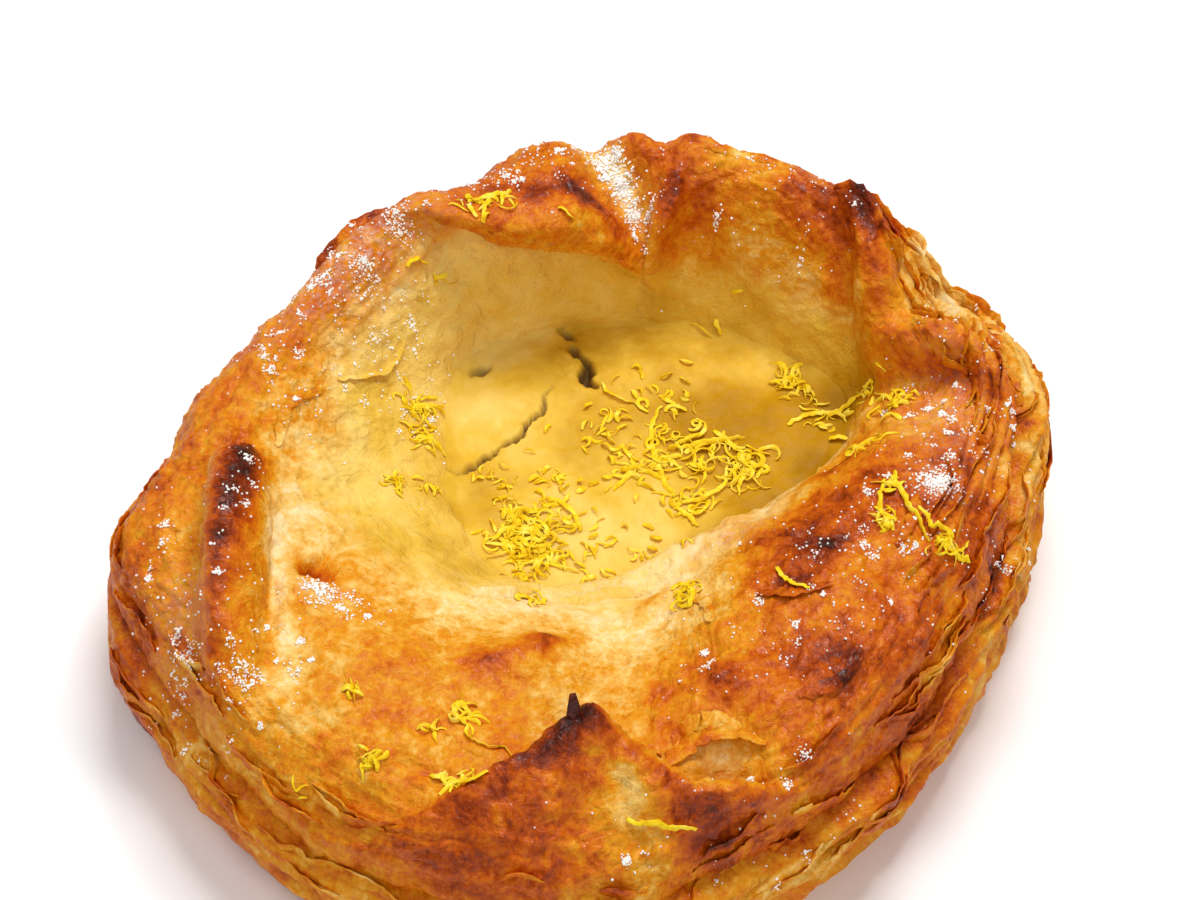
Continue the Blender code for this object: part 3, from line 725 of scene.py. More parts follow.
dough_mesh = piece_from_grid(
    "dough_skin", skin, (0, 0, 0), (*POOL_CENTRE, BASIN_FLOOR), (brown, custard_wash, sugar_film, wash_tone_shade_and_light)
)
dough = finish_object("dough_skin", dough_mesh)


def noise(tree, position, size, detail=3.0, roughness=0.55, distortion=0.0):
    """A noise texture with features of about the given size in millimetres."""
    return make_node(
        tree,
        "ShaderNodeTexNoise",
        {"Vector": position, "Scale": 1000.0 / size, "Detail": detail, "Roughness": roughness, "Distortion": distortion},
    ).outputs["Fac"]


def maths(tree, operation, first, second=0.5, third=0.5, clamp=False):
    """One arithmetic node."""
    made = make_node(tree, "ShaderNodeMath", operation=operation, use_clamp=clamp)
    for socket, value in zip(made.inputs, (first, second, third)):
        if isinstance(value, bpy.types.NodeSocket):
            tree.links.new(value, socket)
        else:
            socket.default_value = value
    return made.outputs[0]


def blend(tree, share, below, above):
    """Mixes two colours by a share."""
    made = make_node(tree, "ShaderNodeMix", data_type="RGBA")
    for socket, value in zip((made.inputs[0], made.inputs[6], made.inputs[7]), (share, below, above)):
        if isinstance(value, bpy.types.NodeSocket):
            tree.links.new(value, socket)
        else:
            socket.default_value = value
    return made.outputs[2]


def ramp(tree, value, stops):
    """A colour ramp through (position, colour) stops."""
    made = make_node(tree, "ShaderNodeValToRGB", {"Fac": value})
    elements = made.color_ramp.elements
    while len(elements) < len(stops):
        elements.new(0.5)
    for element, (at, colour) in zip(elements, stops):
        element.position = at
        element.color = colour
    return made.outputs["Color"]


def spread(tree, value, low, high):
    """The part of a texture between low and high, drawn out to 0 to 1."""
    return make_node(
        tree, "ShaderNodeMapRange", {"Value": value, "From Min": low, "From Max": high}, clamp=True
    ).outputs["Result"]


# Both doughs and the custard share the colour of baked custard, so that the pool has no edge where it ran up
# Its Amber input is how dark the custard colour is, painted shade and painted light included.
custard_colour = bpy.data.node_groups.new("custard_colour", "ShaderNodeTree")
custard_colour.interface.new_socket("Vector", in_out="INPUT", socket_type="NodeSocketVector")
custard_colour.interface.new_socket("Amber", in_out="INPUT", socket_type="NodeSocketFloat")
custard_colour.interface.new_socket("Color", in_out="OUTPUT", socket_type="NodeSocketColor")
inside = make_node(custard_colour, "NodeGroupInput")
result = make_node(custard_colour, "NodeGroupOutput")
cloudy = maths(
    custard_colour, "MULTIPLY_ADD", maths(custard_colour, "SUBTRACT", noise(custard_colour, inside.outputs["Vector"], 5.0, 5.0, 0.6), 0.5), 0.7,
    inside.outputs["Amber"], clamp=True,
)
tint = ramp(
    custard_colour,
    cloudy,
    ((0.0, paint(242, 208, 108)), (0.3, paint(228, 184, 58)), (0.65, paint(194, 142, 8)), (1.0, paint(168, 118, 4))),
)
custard_colour.links.new(tint, result.inputs["Color"])

baked = bpy.data.materials.new("baked_dough_skin")
baked.use_nodes = True
tree = baked.node_tree
shader = tree.nodes["Principled BSDF"]
position = make_node(tree, "ShaderNodeTexCoord").outputs["Object"]
bake = make_node(tree, "ShaderNodeAttribute", attribute_name="bake")
channels = make_node(tree, "ShaderNodeSeparateColor", {"Color": bake.outputs["Color"]})
blotches = noise(tree, position, 2.4, 5.0, 0.62, 0.4)
speckle = noise(tree, position, 0.7, 4.0, 0.65)
browner = maths(tree, "MULTIPLY_ADD", maths(tree, "SUBTRACT", blotches, 0.5), 0.72, channels.outputs["Red"])
browner = maths(tree, "MULTIPLY_ADD", maths(tree, "SUBTRACT", speckle, 0.5), 0.44, browner, clamp=True)
crust = ramp(
    tree,
    browner,
    (
        (0.00, paint(248, 222, 164)),
        (0.16, paint(240, 194, 102)),
        (0.34, paint(226, 150, 20)),
        (0.50, paint(214, 114, 6)),
        (0.64, paint(190, 80, 2)),
        (0.80, paint(136, 46, 2)),
        (1.00, paint(66, 24, 14)),
    ),
)
washed = make_node(tree, "ShaderNodeGroup", {}, node_tree=custard_colour)
tree.links.new(position, washed.inputs["Vector"])
tree.links.new(bake.outputs["Alpha"], washed.inputs["Amber"])
crust = blend(tree, maths(tree, "MULTIPLY", channels.outputs["Green"], 0.92), crust, washed.outputs["Color"])
film = maths(tree, "MULTIPLY", channels.outputs["Blue"], spread(tree, speckle, 0.42, 0.62))
crust = blend(tree, maths(tree, "MULTIPLY", film, 0.6), crust, paint(252, 240, 222))
tree.links.new(crust, shader.inputs["Base Color"])
gloss = maths(tree, "MULTIPLY_ADD", browner, -0.25, 0.58, clamp=True)
tree.links.new(maths(tree, "MULTIPLY_ADD", blotches, 0.12, gloss), shader.inputs["Roughness"])
shader.inputs["Subsurface Weight"].default_value = 0.05
shader.inputs["Subsurface Radius"].default_value = (0.0016, 0.0008, 0.0003)
shader.inputs["Subsurface Scale"].default_value = 1.0
shader.inputs["Specular IOR Level"].default_value = 0.12
uncovered = maths(tree, "MULTIPLY_ADD", channels.outputs["Green"], -0.28, 0.34)
tree.links.new(maths(tree, "MULTIPLY", browner, uncovered), shader.inputs["Coat Weight"])
shader.inputs["Coat Roughness"].default_value = 0.12
curl = make_node(tree, "ShaderNodeTexVoronoi", {"Vector": position, "Scale": 1000.0 / 3.2, "Randomness": 1.0}, feature="F1")
drift = make_node(tree, "ShaderNodeTexNoise", {"Vector": position, "Scale": 1000.0 / 2.2, "Detail": 3.0})
shifted = make_node(tree, "ShaderNodeVectorMath", operation="SCALE")
tree.links.new(drift.outputs["Color"], shifted.inputs[0])
shifted.inputs["Scale"].default_value = 0.0030
moved = make_node(tree, "ShaderNodeVectorMath", operation="ADD")
tree.links.new(position, moved.inputs[0])
tree.links.new(shifted.outputs["Vector"], moved.inputs[1])
tree.links.new(moved.outputs["Vector"], curl.inputs["Vector"])
flakes = make_node(tree, "ShaderNodeSeparateColor", {"Color": curl.outputs["Color"]}).outputs["Red"]
flaky = maths(tree, "MULTIPLY", flakes, maths(tree, "MULTIPLY", spread(tree, browner, 0.2, 0.5), 0.30))
rough_skin = spread(tree, noise(tree, position, 2.2, 4.0, 0.55, 0.5), 0.3, 0.7)
height = maths(tree, "ADD", rough_skin, maths(tree, "MULTIPLY", noise(tree, position, 0.45, 2.0), 0.22))
height = maths(tree, "ADD", height, flaky)
grain = make_node(tree, "ShaderNodeBump", {"Height": height, "Strength": 1.0, "Distance": 0.00032})
tree.links.new(grain.outputs["Normal"], shader.inputs["Normal"])
tree.links.new(grain.outputs["Normal"], shader.inputs["Coat Normal"])
dough.data.materials.append(baked)
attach(dough, "root")
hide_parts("dough")

# ---- Custard: a shallow pool of baked lemon custard that set with a skin, split by one crack and a small hole.
CUSTARD_ROWS = (84, 20)
CUSTARD_COLUMNS = 420
CUSTARD_OVERLAP = 1.2
custard_angle = np.arange(CUSTARD_COLUMNS) * 360.0 / CUSTARD_COLUMNS
pool = at_angle(custard_angle, STATIONS, 4) + CUSTARD_OVERLAP
shares = np.concatenate([np.linspace(0.02, 0.9, CUSTARD_ROWS[0]), np.linspace(0.91, 1.0, CUSTARD_ROWS[1])])
surface = np.array([loop(custard_angle, pool * share, POOL_HEIGHT, POOL_CENTRE) for share in shares])
shape_of_surface = surface.shape[:2]
surface = surface.reshape(-1, 3)
out_by = np.repeat(shares, CUSTARD_COLUMNS)
surface[:, 2] += 0.34 * crumpled(surface, 10, 71, 3) + 0.26 * crumpled(surface, 3.2, 75, 4, 0.55) + 1.2 * step_up(out_by, 0.88, 1.0)
surface[:, 2] += 0.5 * patch(surface, -9, 23, 6, 8, -35) - 0.3 * patch(surface, 19, 24, 9, 7)

# A crack's station is x, y, how deep it is, then its reach to each side
CRACKS = {
    "long_crack": (
        (-15.5, 13.0, -0.2, 0.10, 0.10),
        (-13.0, 13.8, -0.8, 0.14, 0.14),
        (-11.0, 15.8, -1.2, 0.22, 0.20),
        (-9.0, 16.6, -1.1, 0.16, 0.16),
        (-6.0, 20.0, -1.2, 0.18, 0.16),
        (-4.5, 23.0, -1.0, 0.16, 0.16),
        (-3.5, 25.5, -0.3, 0.10, 0.10),
    ),
    "hole": (
        (-1.0, 32.0, -0.8, 0.22, 0.22),
        (0.4, 29.5, -1.8, 0.50, 0.40),
        (0.5, 27.5, -2.4, 0.62, 0.42),
        (1.5, 26.0, -0.8, 0.24, 0.24),
    ),
    "far_slit": ((-2.4, 35.2, -0.4, 0.2, 0.2), (-1.8, 34.2, -0.9, 0.3, 0.3), (-1.0, 33.2, -0.3, 0.2, 0.2)),
    "west_slit": ((-12.8, 27.6, -0.3, 0.2, 0.2), (-11.6, 28.3, -0.8, 0.32, 0.32), (-10.4, 28.9, -0.3, 0.2, 0.2)),
}
wavered = surface + np.stack([0.6 * crumpled(surface, 1.8, 81, 3), 0.6 * crumpled(surface, 1.8, 84, 3), 0 * out_by], axis=-1)
depth = sum(along_line(wavered, stations, 0.15, 2.2)[:, 0] for stations in CRACKS.values())
edge_of_crack = 0.22 * patch(surface, -9, 18, 5, 2.5, 40) + 0.30 * patch(surface, -1.6, 29, 1.2, 2.6)
surface[:, 2] += depth + edge_of_crack * crumpled(surface, 0.9, 87, 2)
# the custard's own colour, with painted shade at the right and under the far fold and painted light on the far wall
custard_tone_shade_and_light = custard_tone_shade_and_light_at(surface)
# painted shade: the custard is painted darker the deeper a crack or the hole is
painted_crack_shade = np.clip(-depth / 1.1, 0, 1)
under = np.array([loop(custard_angle, pool * share, POOL_HEIGHT - 3.6 - drop, POOL_CENTRE) for share, drop in ((0.5, 1.4), (0.85, 1.0), (0.96, 0.0))])
body = np.concatenate([under, surface.reshape(*shape_of_surface, 3)[::-1]])
custard_paints = [
    np.concatenate([np.full(under.shape[:2], plain), value.reshape(shape_of_surface)[::-1]])
    for value, plain in ((np.clip(custard_tone_shade_and_light, 0, 1), 0.5), (painted_crack_shade, 0.0))
]
custard_mesh = piece_from_grid("custard_pool", body, (*POOL_CENTRE, POOL_HEIGHT - 5.0), (*POOL_CENTRE, POOL_HEIGHT), custard_paints)
custard = finish_object("custard_pool", custard_mesh)

set_custard = bpy.data.materials.new("set_custard")
set_custard.use_nodes = True
tree = set_custard.node_tree
shader = tree.nodes["Principled BSDF"]
position = make_node(tree, "ShaderNodeTexCoord").outputs["Object"]
bake = make_node(tree, "ShaderNodeAttribute", attribute_name="bake")
channels = make_node(tree, "ShaderNodeSeparateColor", {"Color": bake.outputs["Color"]})
washed = make_node(tree, "ShaderNodeGroup", {}, node_tree=custard_colour)
tree.links.new(position, washed.inputs["Vector"])
tree.links.new(channels.outputs["Red"], washed.inputs["Amber"])
# the cracks and the hole are painted a dark brown by their depth, as painted shade
yellow = blend(tree, channels.outputs["Green"], washed.outputs["Color"], paint(120, 88, 44))
tree.links.new(yellow, shader.inputs["Base Color"])
shader.inputs["Roughness"].default_value = 0.5
shader.inputs["Specular IOR Level"].default_value = 0.14
shader.inputs["Subsurface Weight"].default_value = 0.10
shader.inputs["Subsurface Radius"].default_value = (0.004, 0.0025, 0.0006)
shader.inputs["Subsurface Scale"].default_value = 1.0
height = maths(tree, "MULTIPLY_ADD", noise(tree, position, 2.2, 5.0, 0.6), 0.7, maths(tree, "MULTIPLY", noise(tree, position, 0.6, 3.0), 0.25))
grain = make_node(tree, "ShaderNodeBump", {"Height": height, "Strength": 0.5, "Distance": 0.0004})
tree.links.new(grain.outputs["Normal"], shader.inputs["Normal"])
custard.data.materials.append(set_custard)
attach(custard, "root")
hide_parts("custard")

# ---- Loose leaves: the thin sheets of the laminated dough that came away from the wall and the folds in the oven.
# Each one is a narrow band of dough swept along its own path, a little browner than the skin that it stands on.
LEAF_HALF_WIDTH = 0.85
LEAF_THICKNESS = 0.22
WALL_LEAVES = (
    # from and to which angle, how far up the wall from and to, how many and how long
    (-78, -12, 1.0, 17.0, 26, 9.0), (-25, 48, 1.0, 24.0, 46, 10.0), (20, 46, 12.0, 26.0, 16, 7.0),
    (150, 250, 1.0, 15.0, 26, 8.0), (60, 130, 2.0, 14.0, 10, 7.0), (252, 284, 1.0, 12.0, 9, 7.0),
)
TOP_LEAVES = (
    # a path as x and y, its half width, and how far it leans to its right from lying flat, in degrees
    (((9.7, -31.0), (12.4, -29.6), (15.0, -29.8), (17.0, -31.4)), 1.1, 14),
    (((8.0, -35.0), (12.0, -31.8), (16.0, -31.2), (19.6, -32.6)), 1.3, -16),
    (((15.0, -3.4), (20.0, -5.4), (26.0, -8.0), (31.5, -9.2)), 0.7, 18),
    (((10.5, -9.0), (13.4, -12.2), (14.0, -16.0)), 0.6, 20),
    (((19.0, -13.0), (23.0, -14.6), (27.0, -14.0)), 0.7, -14),
    (((34.0, -9.0), (36.0, -5.0), (36.4, -1.0)), 0.7, 16),
    (((23.0, -28.0), (27.0, -26.2), (30.0, -22.0)), 0.7, 18),
    (((-33.5, 8.0), (-32.0, 13.0), (-28.6, 16.6)), 0.7, 14),
    (((-27.0, 18.5), (-22.6, 21.6), (-20.0, 26.0)), 0.7, -14),
    (((-14.0, -9.0), (-9.0, -8.4), (-4.0, -5.0)), 0.8, 14),
    (((-3.0, -8.4), (3.0, -6.0), (9.4, -5.6)), 0.7, 16),
    (((-30.0, 31.0), (-26.0, 34.4), (-22.0, 37.0)), 0.7, 16),
    (((14.0, 45.0), (19.0, 44.6), (24.0, 43.0)), 0.6, 16),
    (((40.0, 25.6), (44.0, 23.6), (47.4, 19.6), (49.0, 15.6)), 0.9, 24),
    (((38.0, 29.0), (42.6, 26.8), (46.6, 22.6), (49.4, 17.0)), 0.9, -24),
    (((38.6, 31.4), (43.0, 29.6), (47.6, 25.0)), 0.9, 24),
    (((39.0, 34.4), (43.6, 32.2), (47.6, 28.6)), 0.8, -20),
)
bpy.context.view_layer.update()
standing = bpy.context.evaluated_depsgraph_get()


def drop(x, y):
    """What something dropped at x, y lands on, where, in the frame's metres, and the surface's normal there."""
    start = Vector((x - MIDDLE[0], y - MIDDLE[1], 60.0)) * 0.001
    hit, landed, upward, _, under, _ = bpy.context.scene.ray_cast(standing, start, (0, 0, -1))
    return under, landed, upward


def band_curve(name, half_width, thickness):
    """A curve whose every spline is swept into a flat band with closed ends; untilted, its width stands upright."""
    curve = bpy.data.curves.new(name, "CURVE")
    curve.dimensions = "3D"
    curve.twist_mode = "Z_UP"
    curve.extrude = half_width * 0.001
    curve.bevel_depth = thickness * 0.0005
    curve.bevel_resolution = 0
    curve.use_fill_caps = True
    return curve


def lay_band(curve, points, widths, tilts):
    """Adds one band to a curve, along points in millimetres."""
    spline = curve.splines.new("POLY")
    spline.points.add(len(points) - 1)
    for at, point, width, tilt in zip(spline.points, points, widths, tilts):
        at.co = (*((np.asarray(point) - MIDDLE) * 0.001), 1)
        at.radius = width
        at.tilt = tilt


def finish_bands(name, curve):
    """Makes the bands one mesh, kept inside the dough's own outline."""
    holder = bpy.data.objects.new(name + "_holder", curve)
    mesh = bpy.data.meshes.new_from_object(holder)
    bpy.data.objects.remove(holder)
    places = np.empty(len(mesh.vertices) * 3)
    mesh.vertices.foreach_get("co", places)
    low, high = (BOX_LOW - MIDDLE) * 0.001, (BOX_HIGH - MIDDLE) * 0.001
    mesh.vertices.foreach_set("co", np.clip(places.reshape(-1, 3), low, high).ravel())
    return finish_object(name, mesh)


def tapered(count, random, least=0.3):
    """Widths along a band: narrow at its ends and ragged between."""
    t = np.linspace(0.04, 0.96, count)
    return (least + (1 - least) * np.sin(pi * t) ** 0.6) * random.uniform(0.75, 1.15, count)


leaf_curve = band_curve("leaves", LEAF_HALF_WIDTH, LEAF_THICKNESS)
random = np.random.default_rng(7)
climbed_grid = climbed.reshape(len(skin), COLUMNS)
normals = outward(skin).reshape(skin.shape)
for start, end, low, high, count, length in WALL_LEAVES:
    for _ in range(count):
        first = int(np.argmin(np.abs((angle - random.uniform(start, end) + 180) % 360 - 180)))
        steps = int(length * random.uniform(0.5, 1.5) / 0.45)
        t = np.linspace(0, 1, steps)
        climb = random.uniform(low, high) + random.uniform(-1.2, 1.2) * t + 0.5 * np.sin(random.uniform(0, 6) + 5 * t)
        stand_off = 0.1 + random.uniform(0.1, 0.35) * np.sin(pi * t)
        path = []
        for k in range(steps):
            column = (first + k) % COLUMNS
            at = int(np.interp(climb[k], climbed_grid[:, column], np.arange(len(skin))))
            share = (climb[k] - climbed_grid[at, column]) / (climbed_grid[at + 1, column] - climbed_grid[at, column])
            on_skin = skin[at, column] + share * (skin[at + 1, column] - skin[at, column])
            path.append(on_skin + normals[at, column] * stand_off[k])
        lean = radians(random.uniform(-6, 34))
        lay_band(leaf_curve, path, tapered(steps, random) * random.uniform(0.6, 1.2), np.full(steps, lean))
for path, half_width, lean in TOP_LEAVES:
    path = through(np.array(path, float), [7] * (len(path) - 1))
    path = path + 0.10 * random.normal(size=path.shape)
    landed = np.array([np.array(drop(x, y)[1]) * 1000 + MIDDLE for x, y in path])
    landed[:, 2] += 0.10 + 0.25 * np.sin(np.linspace(0, pi, len(path)))
    slope = [pi / 2 + radians(lean)] * len(path)
    lay_band(leaf_curve, landed, tapered(len(path), random, 0.2) * half_width / LEAF_HALF_WIDTH, slope)
# One burnt splinter stands up on the near peak
splinter = np.array([np.array(drop(x, y)[1]) * 1000 + MIDDLE for x, y in ((-0.6, -34.0), (-0.6, -33.6), (-0.7, -33.2))])
splinter[:, 2] = splinter[0, 2] + np.array((-0.6, 1.4, 3.2))
lay_band(leaf_curve, splinter, (0.9, 0.7, 0.35), [pi / 2] * 3)
leaves = finish_bands("loose_leaves", leaf_curve)
near_skin = KDTree(skin[:, ::2].size // 3)
for k, point in enumerate(((skin[:, ::2] - MIDDLE) * 0.001).reshape(-1, 3)):
    near_skin.insert(point, k)
near_skin.balance()
leaf_paints = leaves.data.color_attributes.new("bake", "FLOAT_COLOR", "POINT")
paints_of_skin = np.stack([brown, custard_wash, 0 * brown, wash_tone_shade_and_light], axis=-1).reshape(*skin.shape[:2], 4)[:, ::2].reshape(-1, 4)
shade = crumpled(np.array([vertex.co for vertex in leaves.data.vertices]) * 1000, 3.0, 91, 3)
for vertex, darker in zip(leaves.data.vertices, shade):
    colour = paints_of_skin[near_skin.find(vertex.co)[1]].copy()
    colour[0] = min(max(colour[0] + 0.02 + 0.22 * darker, 0), 1)
    leaf_paints.data[vertex.index].color = colour
leaves.data.materials.append(baked)
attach(leaves, "root")

# ---- Lemon peel: shreds of grated yellow peel, straight or curled, lying singly and in tangles. Each one is a thin
# ragged band swept along its own path.
SHRED_HALF_WIDTH = 0.21
SHRED_THICKNESS = 0.12
SHREDS = (
    # the paths of the longer shreds, as x and y
    ((-2.5, 35.5), (-0.5, 34), (1, 32.5), (4, 30.5)),
    ((16, 34), (15.5, 35), (16, 35.5), (17, 35.5), (17, 35), (17, 33.5)),
    ((9, 36.5), (10.5, 36.5), (12, 37), (13, 37)),
    ((12.5, 36), (13, 36.5), (14, 36.5)),
    ((23.5, 20.5), (25.5, 22), (27.5, 22), (29, 22), (31, 22.5), (32, 21)),
    ((28, 18), (30, 17), (31, 9.5), (32.5, 6), (34.5, 4.5)),
    ((34, 1), (35, -1.5), (35.5, -3.5), (36.5, -5.5), (37.5, -8)),
    ((33, 0.5), (32.5, -2), (32.5, -4), (34, -5.5)),
    ((36.5, -3.5), (37.5, -4.5), (38, -6), (39.5, -6.5), (40, -8), (41.5, -7.5), (42.5, -6.5)),
    ((38.5, -7), (39.5, -9), (41, -8), (42, -6)),
    ((21, -10), (22, -12), (23, -13.5), (24.5, -14.5)),
    ((-12.5, -28.5), (-12, -30), (-11.5, -32), (-9.5, -33), (-8, -33), (-6, -36.5)),
    ((5, -42), (6.5, -42.5), (8, -42.5), (10, -42.5), (12, -42.5)),
    ((10, -7.5), (11, -7), (12, -9), (12, -11.5), (11, -11), (10.5, -9)),
    ((4.5, 17.5), (5.5, 16), (6, 14), (5, 12.5), (3.5, 10.5)),
    ((9, 23), (8, 20.5), (8, 17.5), (8.5, 14.5), (9.5, 11.5), (10.5, 10)),
    ((10, 9.5), (12.5, 9), (14.5, 10), (16, 11.5), (16.5, 14.5)),
    ((11, 16.5), (13.5, 17.5), (16, 18), (18.5, 18.5)),
    ((15, 20), (16.5, 18), (17.5, 16.5), (19.5, 15.5)),
    ((-13.5, -28.5), (-12.5, -27), (-12, -28)),
    ((-14.5, -39.5), (-13, -38), (-11.5, -39), (-9.5, -38.5)),
    ((-8, 8.5), (-7.5, 6.5), (-6.5, 4.5)),
    ((-4, 9.5), (-2, 8.5), (-0.5, 6), (0, 4.5)),
    ((-13, 37.5), (-12.5, 36.5), (-13, 37)),
    ((-12.5, 36.5), (-11.5, 36.5), (-11, 36.5)),
    ((-10, 37), (-9.5, 37.5), (-8.5, 37.5), (-8, 38.5)),
    ((-19.5, 31.5), (-18, 32.5), (-16, 33)),
    ((2.5, 26.5), (3, 25), (4.5, 24), (6, 23.5)),
    ((10.5, 8.5), (12, 7), (13, 5.5)),
    ((12.5, 36.5), (13, 37)),
)
TANGLES = (
    # x, y, how far it spreads, how many shreds, and how long they are
    (-18.5, 20.0, 1.1, 26, 1.8), (-17.9, 16.2, 0.9, 16, 1.6), (-20.6, 8.1, 0.7, 12, 1.4), (-17.1, 9.4, 0.6, 6, 1.2),
    (-16.6, 32.6, 0.8, 5, 2.0), (-12.3, 35.6, 1.0, 5, 2.2), (-9.3, 36.2, 1.0, 6, 2.2), (12.0, 36.2, 1.0, 3, 2.2),
    (18.8, 35.6, 0.4, 5, 1.0), (24.0, 27.0, 1.2, 12, 2.4), (25.2, 25.0, 0.9, 7, 2.2), (13.5, 16.0, 4.2, 34, 3.6),
    (17.5, 15.0, 2.0, 14, 3.0), (-6.2, 4.6, 2.8, 60, 3.0), (-5.0, 0.4, 1.9, 30, 2.6), (-5.2, -8.0, 1.0, 10, 1.8),
    (2.4, 2.9, 0.8, 4, 1.8), (6.8, 1.4, 0.8, 5, 1.6), (1.8, 19.7, 1.8, 9, 2.0), (6.0, 14.5, 1.8, 8, 2.2),
    (12.6, 9.8, 1.8, 8, 3.2), (27.0, 21.0, 1.2, 7, 2.0), (32.0, 21.6, 1.0, 12, 1.8), (35.3, 16.6, 1.2, 15, 2.0),
    (31.5, 9.0, 1.2, 7, 2.4), (34.0, -0.5, 0.6, 6, 2.0), (32.8, -5.2, 0.8, 10, 1.6), (40.0, -8.0, 1.1, 16, 1.8),
    (11.4, -8.6, 0.8, 10, 2.2), (-24.0, -26.2, 0.4, 6, 1.2), (-22.2, -34.6, 0.7, 13, 1.4), (-15.3, -30.8, 0.4, 6, 1.2),
    (-12.2, -28.6, 0.9, 8, 2.2), (-12.9, -37.4, 0.9, 12, 1.6), (-30.0, -35.8, 0.8, 4, 1.4), (8.0, 24.0, 4.0, 12, 1.4), (6.0, 15.0, 7.0, 30, 0.9), (-4.0, 6.0, 5.0, 24, 0.8),
    (-2.0, 12.0, 3.5, 10, 1.2), (-10.0, 12.5, 1.6, 7, 1.2), (0.0, -1.0, 2.6, 9, 1.4), (10.0, 3.0, 2.5, 5, 1.2),
)


def lay_shred(path, width, lift, twist, random):
    """Lays one shred of peel along a path over the pastry: lift is how high its middle stands, in millimetres."""
    heights = np.array([drop(x, y)[1].z * 1000 for x, y in path])
    edge = np.flatnonzero(np.abs(np.diff(heights)) > 0.8)
    if len(edge):
        path, heights = path[: edge[0] + 1], heights[: edge[0] + 1]
    if len(path) < 4:
        return
    eased = np.convolve(np.pad(heights, 2, mode="edge"), np.ones(5) / 5, mode="valid")
    heights = np.maximum(heights, eased) + 0.12 + lift * np.sin(np.linspace(0, pi, len(path)))
    tilts = pi / 2 + random.uniform(-0.5, 0.5) + twist * np.linspace(0, 1, len(path))
    lay_band(peel_curve, np.column_stack([path, heights]), width * tapered(len(path), random, 0.45), tilts)


peel_curve = band_curve("peel", SHRED_HALF_WIDTH, SHRED_THICKNESS)
random = np.random.default_rng(5)
for path in SHREDS:
    path = through(np.array(path, float), [5] * (len(path) - 1))
    path += 0.08 * random.normal(size=path.shape)
    lay_shred(path, random.uniform(1.0, 1.5), random.uniform(0.1, 0.5), random.uniform(-1.2, 1.2), random)
for x, y, reach, count, length in TANGLES:
    for _ in range(int(count * 1.5)):
        heading = random.uniform(0, 2 * pi)
        curl = random.normal(0, 0.3)
        steps = max(4, int(length * random.uniform(0.5, 1.5) / 0.35))
        path = [np.array([x, y]) + reach * random.normal(size=2) * 0.7]
        for _ in range(steps):
            curl += random.normal(0, 0.14)
            heading += curl
            path.append(path[-1] + 0.35 * np.array([cos(heading), sin(heading)]))
        lay_shred(path, random.uniform(0.4, 1.3), random.uniform(0.0, 0.5), random.uniform(-2.0, 2.0), random)
peel = finish_bands("lemon_peel", peel_curve)

grated = bpy.data.materials.new("grated_peel")
grated.use_nodes = True
tree = grated.node_tree
shader = tree.nodes["Principled BSDF"]
position = make_node(tree, "ShaderNodeTexCoord").outputs["Object"]
tint = ramp(
    tree,
    noise(tree, position, 1.4, 4.0),
    ((0.30, paint(228, 176, 8)), (0.5, paint(248, 212, 24)), (0.72, paint(255, 234, 96))),
)
tree.links.new(tint, shader.inputs["Base Color"])
shader.inputs["Roughness"].default_value = 0.5
shader.inputs["Specular IOR Level"].default_value = 0.15
shader.inputs["Subsurface Weight"].default_value = 0.1
shader.inputs["Subsurface Radius"].default_value = (0.0005, 0.0004, 0.0001)
shader.inputs["Subsurface Scale"].default_value = 1.0
peel.data.materials.append(grated)
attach(peel, "root")

# ---- Icing sugar: grains sifted over the rim and the folds, singly and in small heaps. Each grain is a tiny lump.
SUGAR_GRAIN = 0.135
SUGAR_ZONES = (
    # x, y, how far across and along it reaches, its turn, how many small heaps and how many lone grains
    (-26.0, 28.0, 4.0, 11.5, 45, 70, 800), (-34.0, 18.0, 2.4, 5.0, 25, 12, 160), (-12.0, 41.0, 4.0, 3.0, 10, 14, 180),
    (4.0, 44.0, 1.0, 3.8, 29, 26, 380), (-3.0, 44.0, 5.0, 2.4, 0, 14, 160), (20.0, 42.5, 9.0, 4.5, -15, 14, 260),
    (41.0, 24.0, 4.0, 4.0, 0, 6, 70), (42.0, 8.0, 3.4, 7.0, 0, 24, 240), (32.0, -8.0, 6.5, 6.5, 0, 22, 340),
    (20.0, -16.0, 6.0, 6.0, 0, 7, 160), (26.0, -37.0, 9.0, 3.0, 12, 10, 110), (-37.0, -8.0, 1.1, 8.0, 0, 6, 50),
    (-44.0, -12.0, 2.6, 7.0, 0, 16, 150), (-41.0, -24.0, 4.0, 4.0, 0, 10, 100), (-34.0, -24.0, 2.5, 3.5, 0, 8, 80),
    (-26.0, -13.4, 3.2, 1.4, -8, 14, 90), (-47.0, -30.0, 2.0, 6.0, 30, 8, 90), (14.0, -45.0, 9.0, 3.0, 0, 8, 60),
)
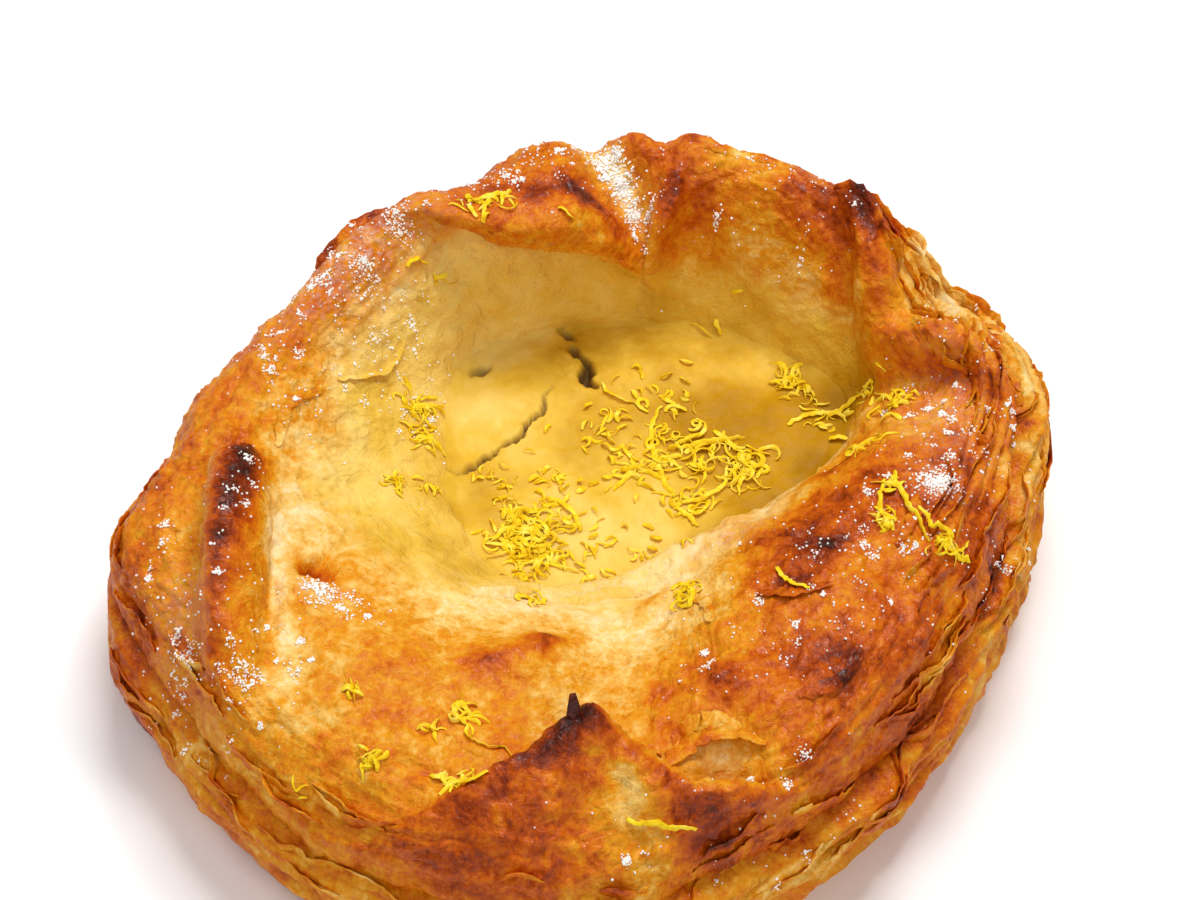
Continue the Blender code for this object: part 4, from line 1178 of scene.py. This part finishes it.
SUGAR_HEAPS = (
    # x, y, how far the heap spreads, and its grains
    (38.9, 0.9, 1.1, 420), (-20.5, 34.6, 0.9, 150), (-24.5, 29.5, 0.9, 110), (3.0, 45.6, 0.8, 180), (4.8, 43.0, 0.8, 200), (6.0, 40.6, 0.5, 100),
    (-28.0, -12.4, 0.9, 200), (-42.6, -19.0, 0.9, 110), (-35.6, -24.0, 0.8, 100),
)
lump = bmesh.new()
bmesh.ops.create_icosphere(lump, subdivisions=1, radius=1.0)
grain_mesh = bpy.data.meshes.new("grain")
lump.to_mesh(grain_mesh)
lump.free()
random = np.random.default_rng(9)
falls = [(x, y, reach, count) for x, y, reach, count in SUGAR_HEAPS]
for x, y, across, along, turn, heaps, grains in SUGAR_ZONES:
    c, s = cos(radians(turn)), sin(radians(turn))
    for k in range(heaps + grains // 2):
        one, other = random.normal(size=2) * (across, along)
        if k < heaps:
            falls.append((x + one * c - other * s, y + one * s + other * c, random.uniform(0.12, 0.42), int(6 + 40 * random.random() ** 2.2)))
        else:
            falls.append((x + one * c - other * s, y + one * s + other * c, 0.0, 1))
sifted = bmesh.new()
for x, y, reach, count in falls:
    for away in random.normal(size=(count, 2)) * reach:
        under, landed, upward = drop(x + away[0], y + away[1])
        if under is None or under.name not in ("dough_skin", "loose_leaves") or landed.z * 1000 > BOX_HIGH[2] - 0.1:
            continue
        size = SUGAR_GRAIN * random.uniform(0.5, 1.3) * 0.001
        squash = Matrix.Diagonal((*(size * random.uniform(0.7, 1.2, 3)), 1))
        lie = Matrix.Translation(landed + upward * size * 0.5) @ Matrix.Rotation(random.uniform(0, 6), 4, "Z") @ squash
        grain_mesh.transform(lie)
        sifted.from_mesh(grain_mesh)
        grain_mesh.transform(lie.inverted())
sugar_mesh = bpy.data.meshes.new("sugar")
sifted.to_mesh(sugar_mesh)
sifted.free()
sugar = finish_object("icing_sugar", sugar_mesh)
white_sugar = bpy.data.materials.new("icing_sugar")
white_sugar.use_nodes = True
shader = white_sugar.node_tree.nodes["Principled BSDF"]
shader.inputs["Base Color"].default_value = paint(253, 250, 244)
shader.inputs["Roughness"].default_value = 0.6
shader.inputs["Specular IOR Level"].default_value = 0.3
sugar.data.materials.append(white_sugar)
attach(sugar, "root")
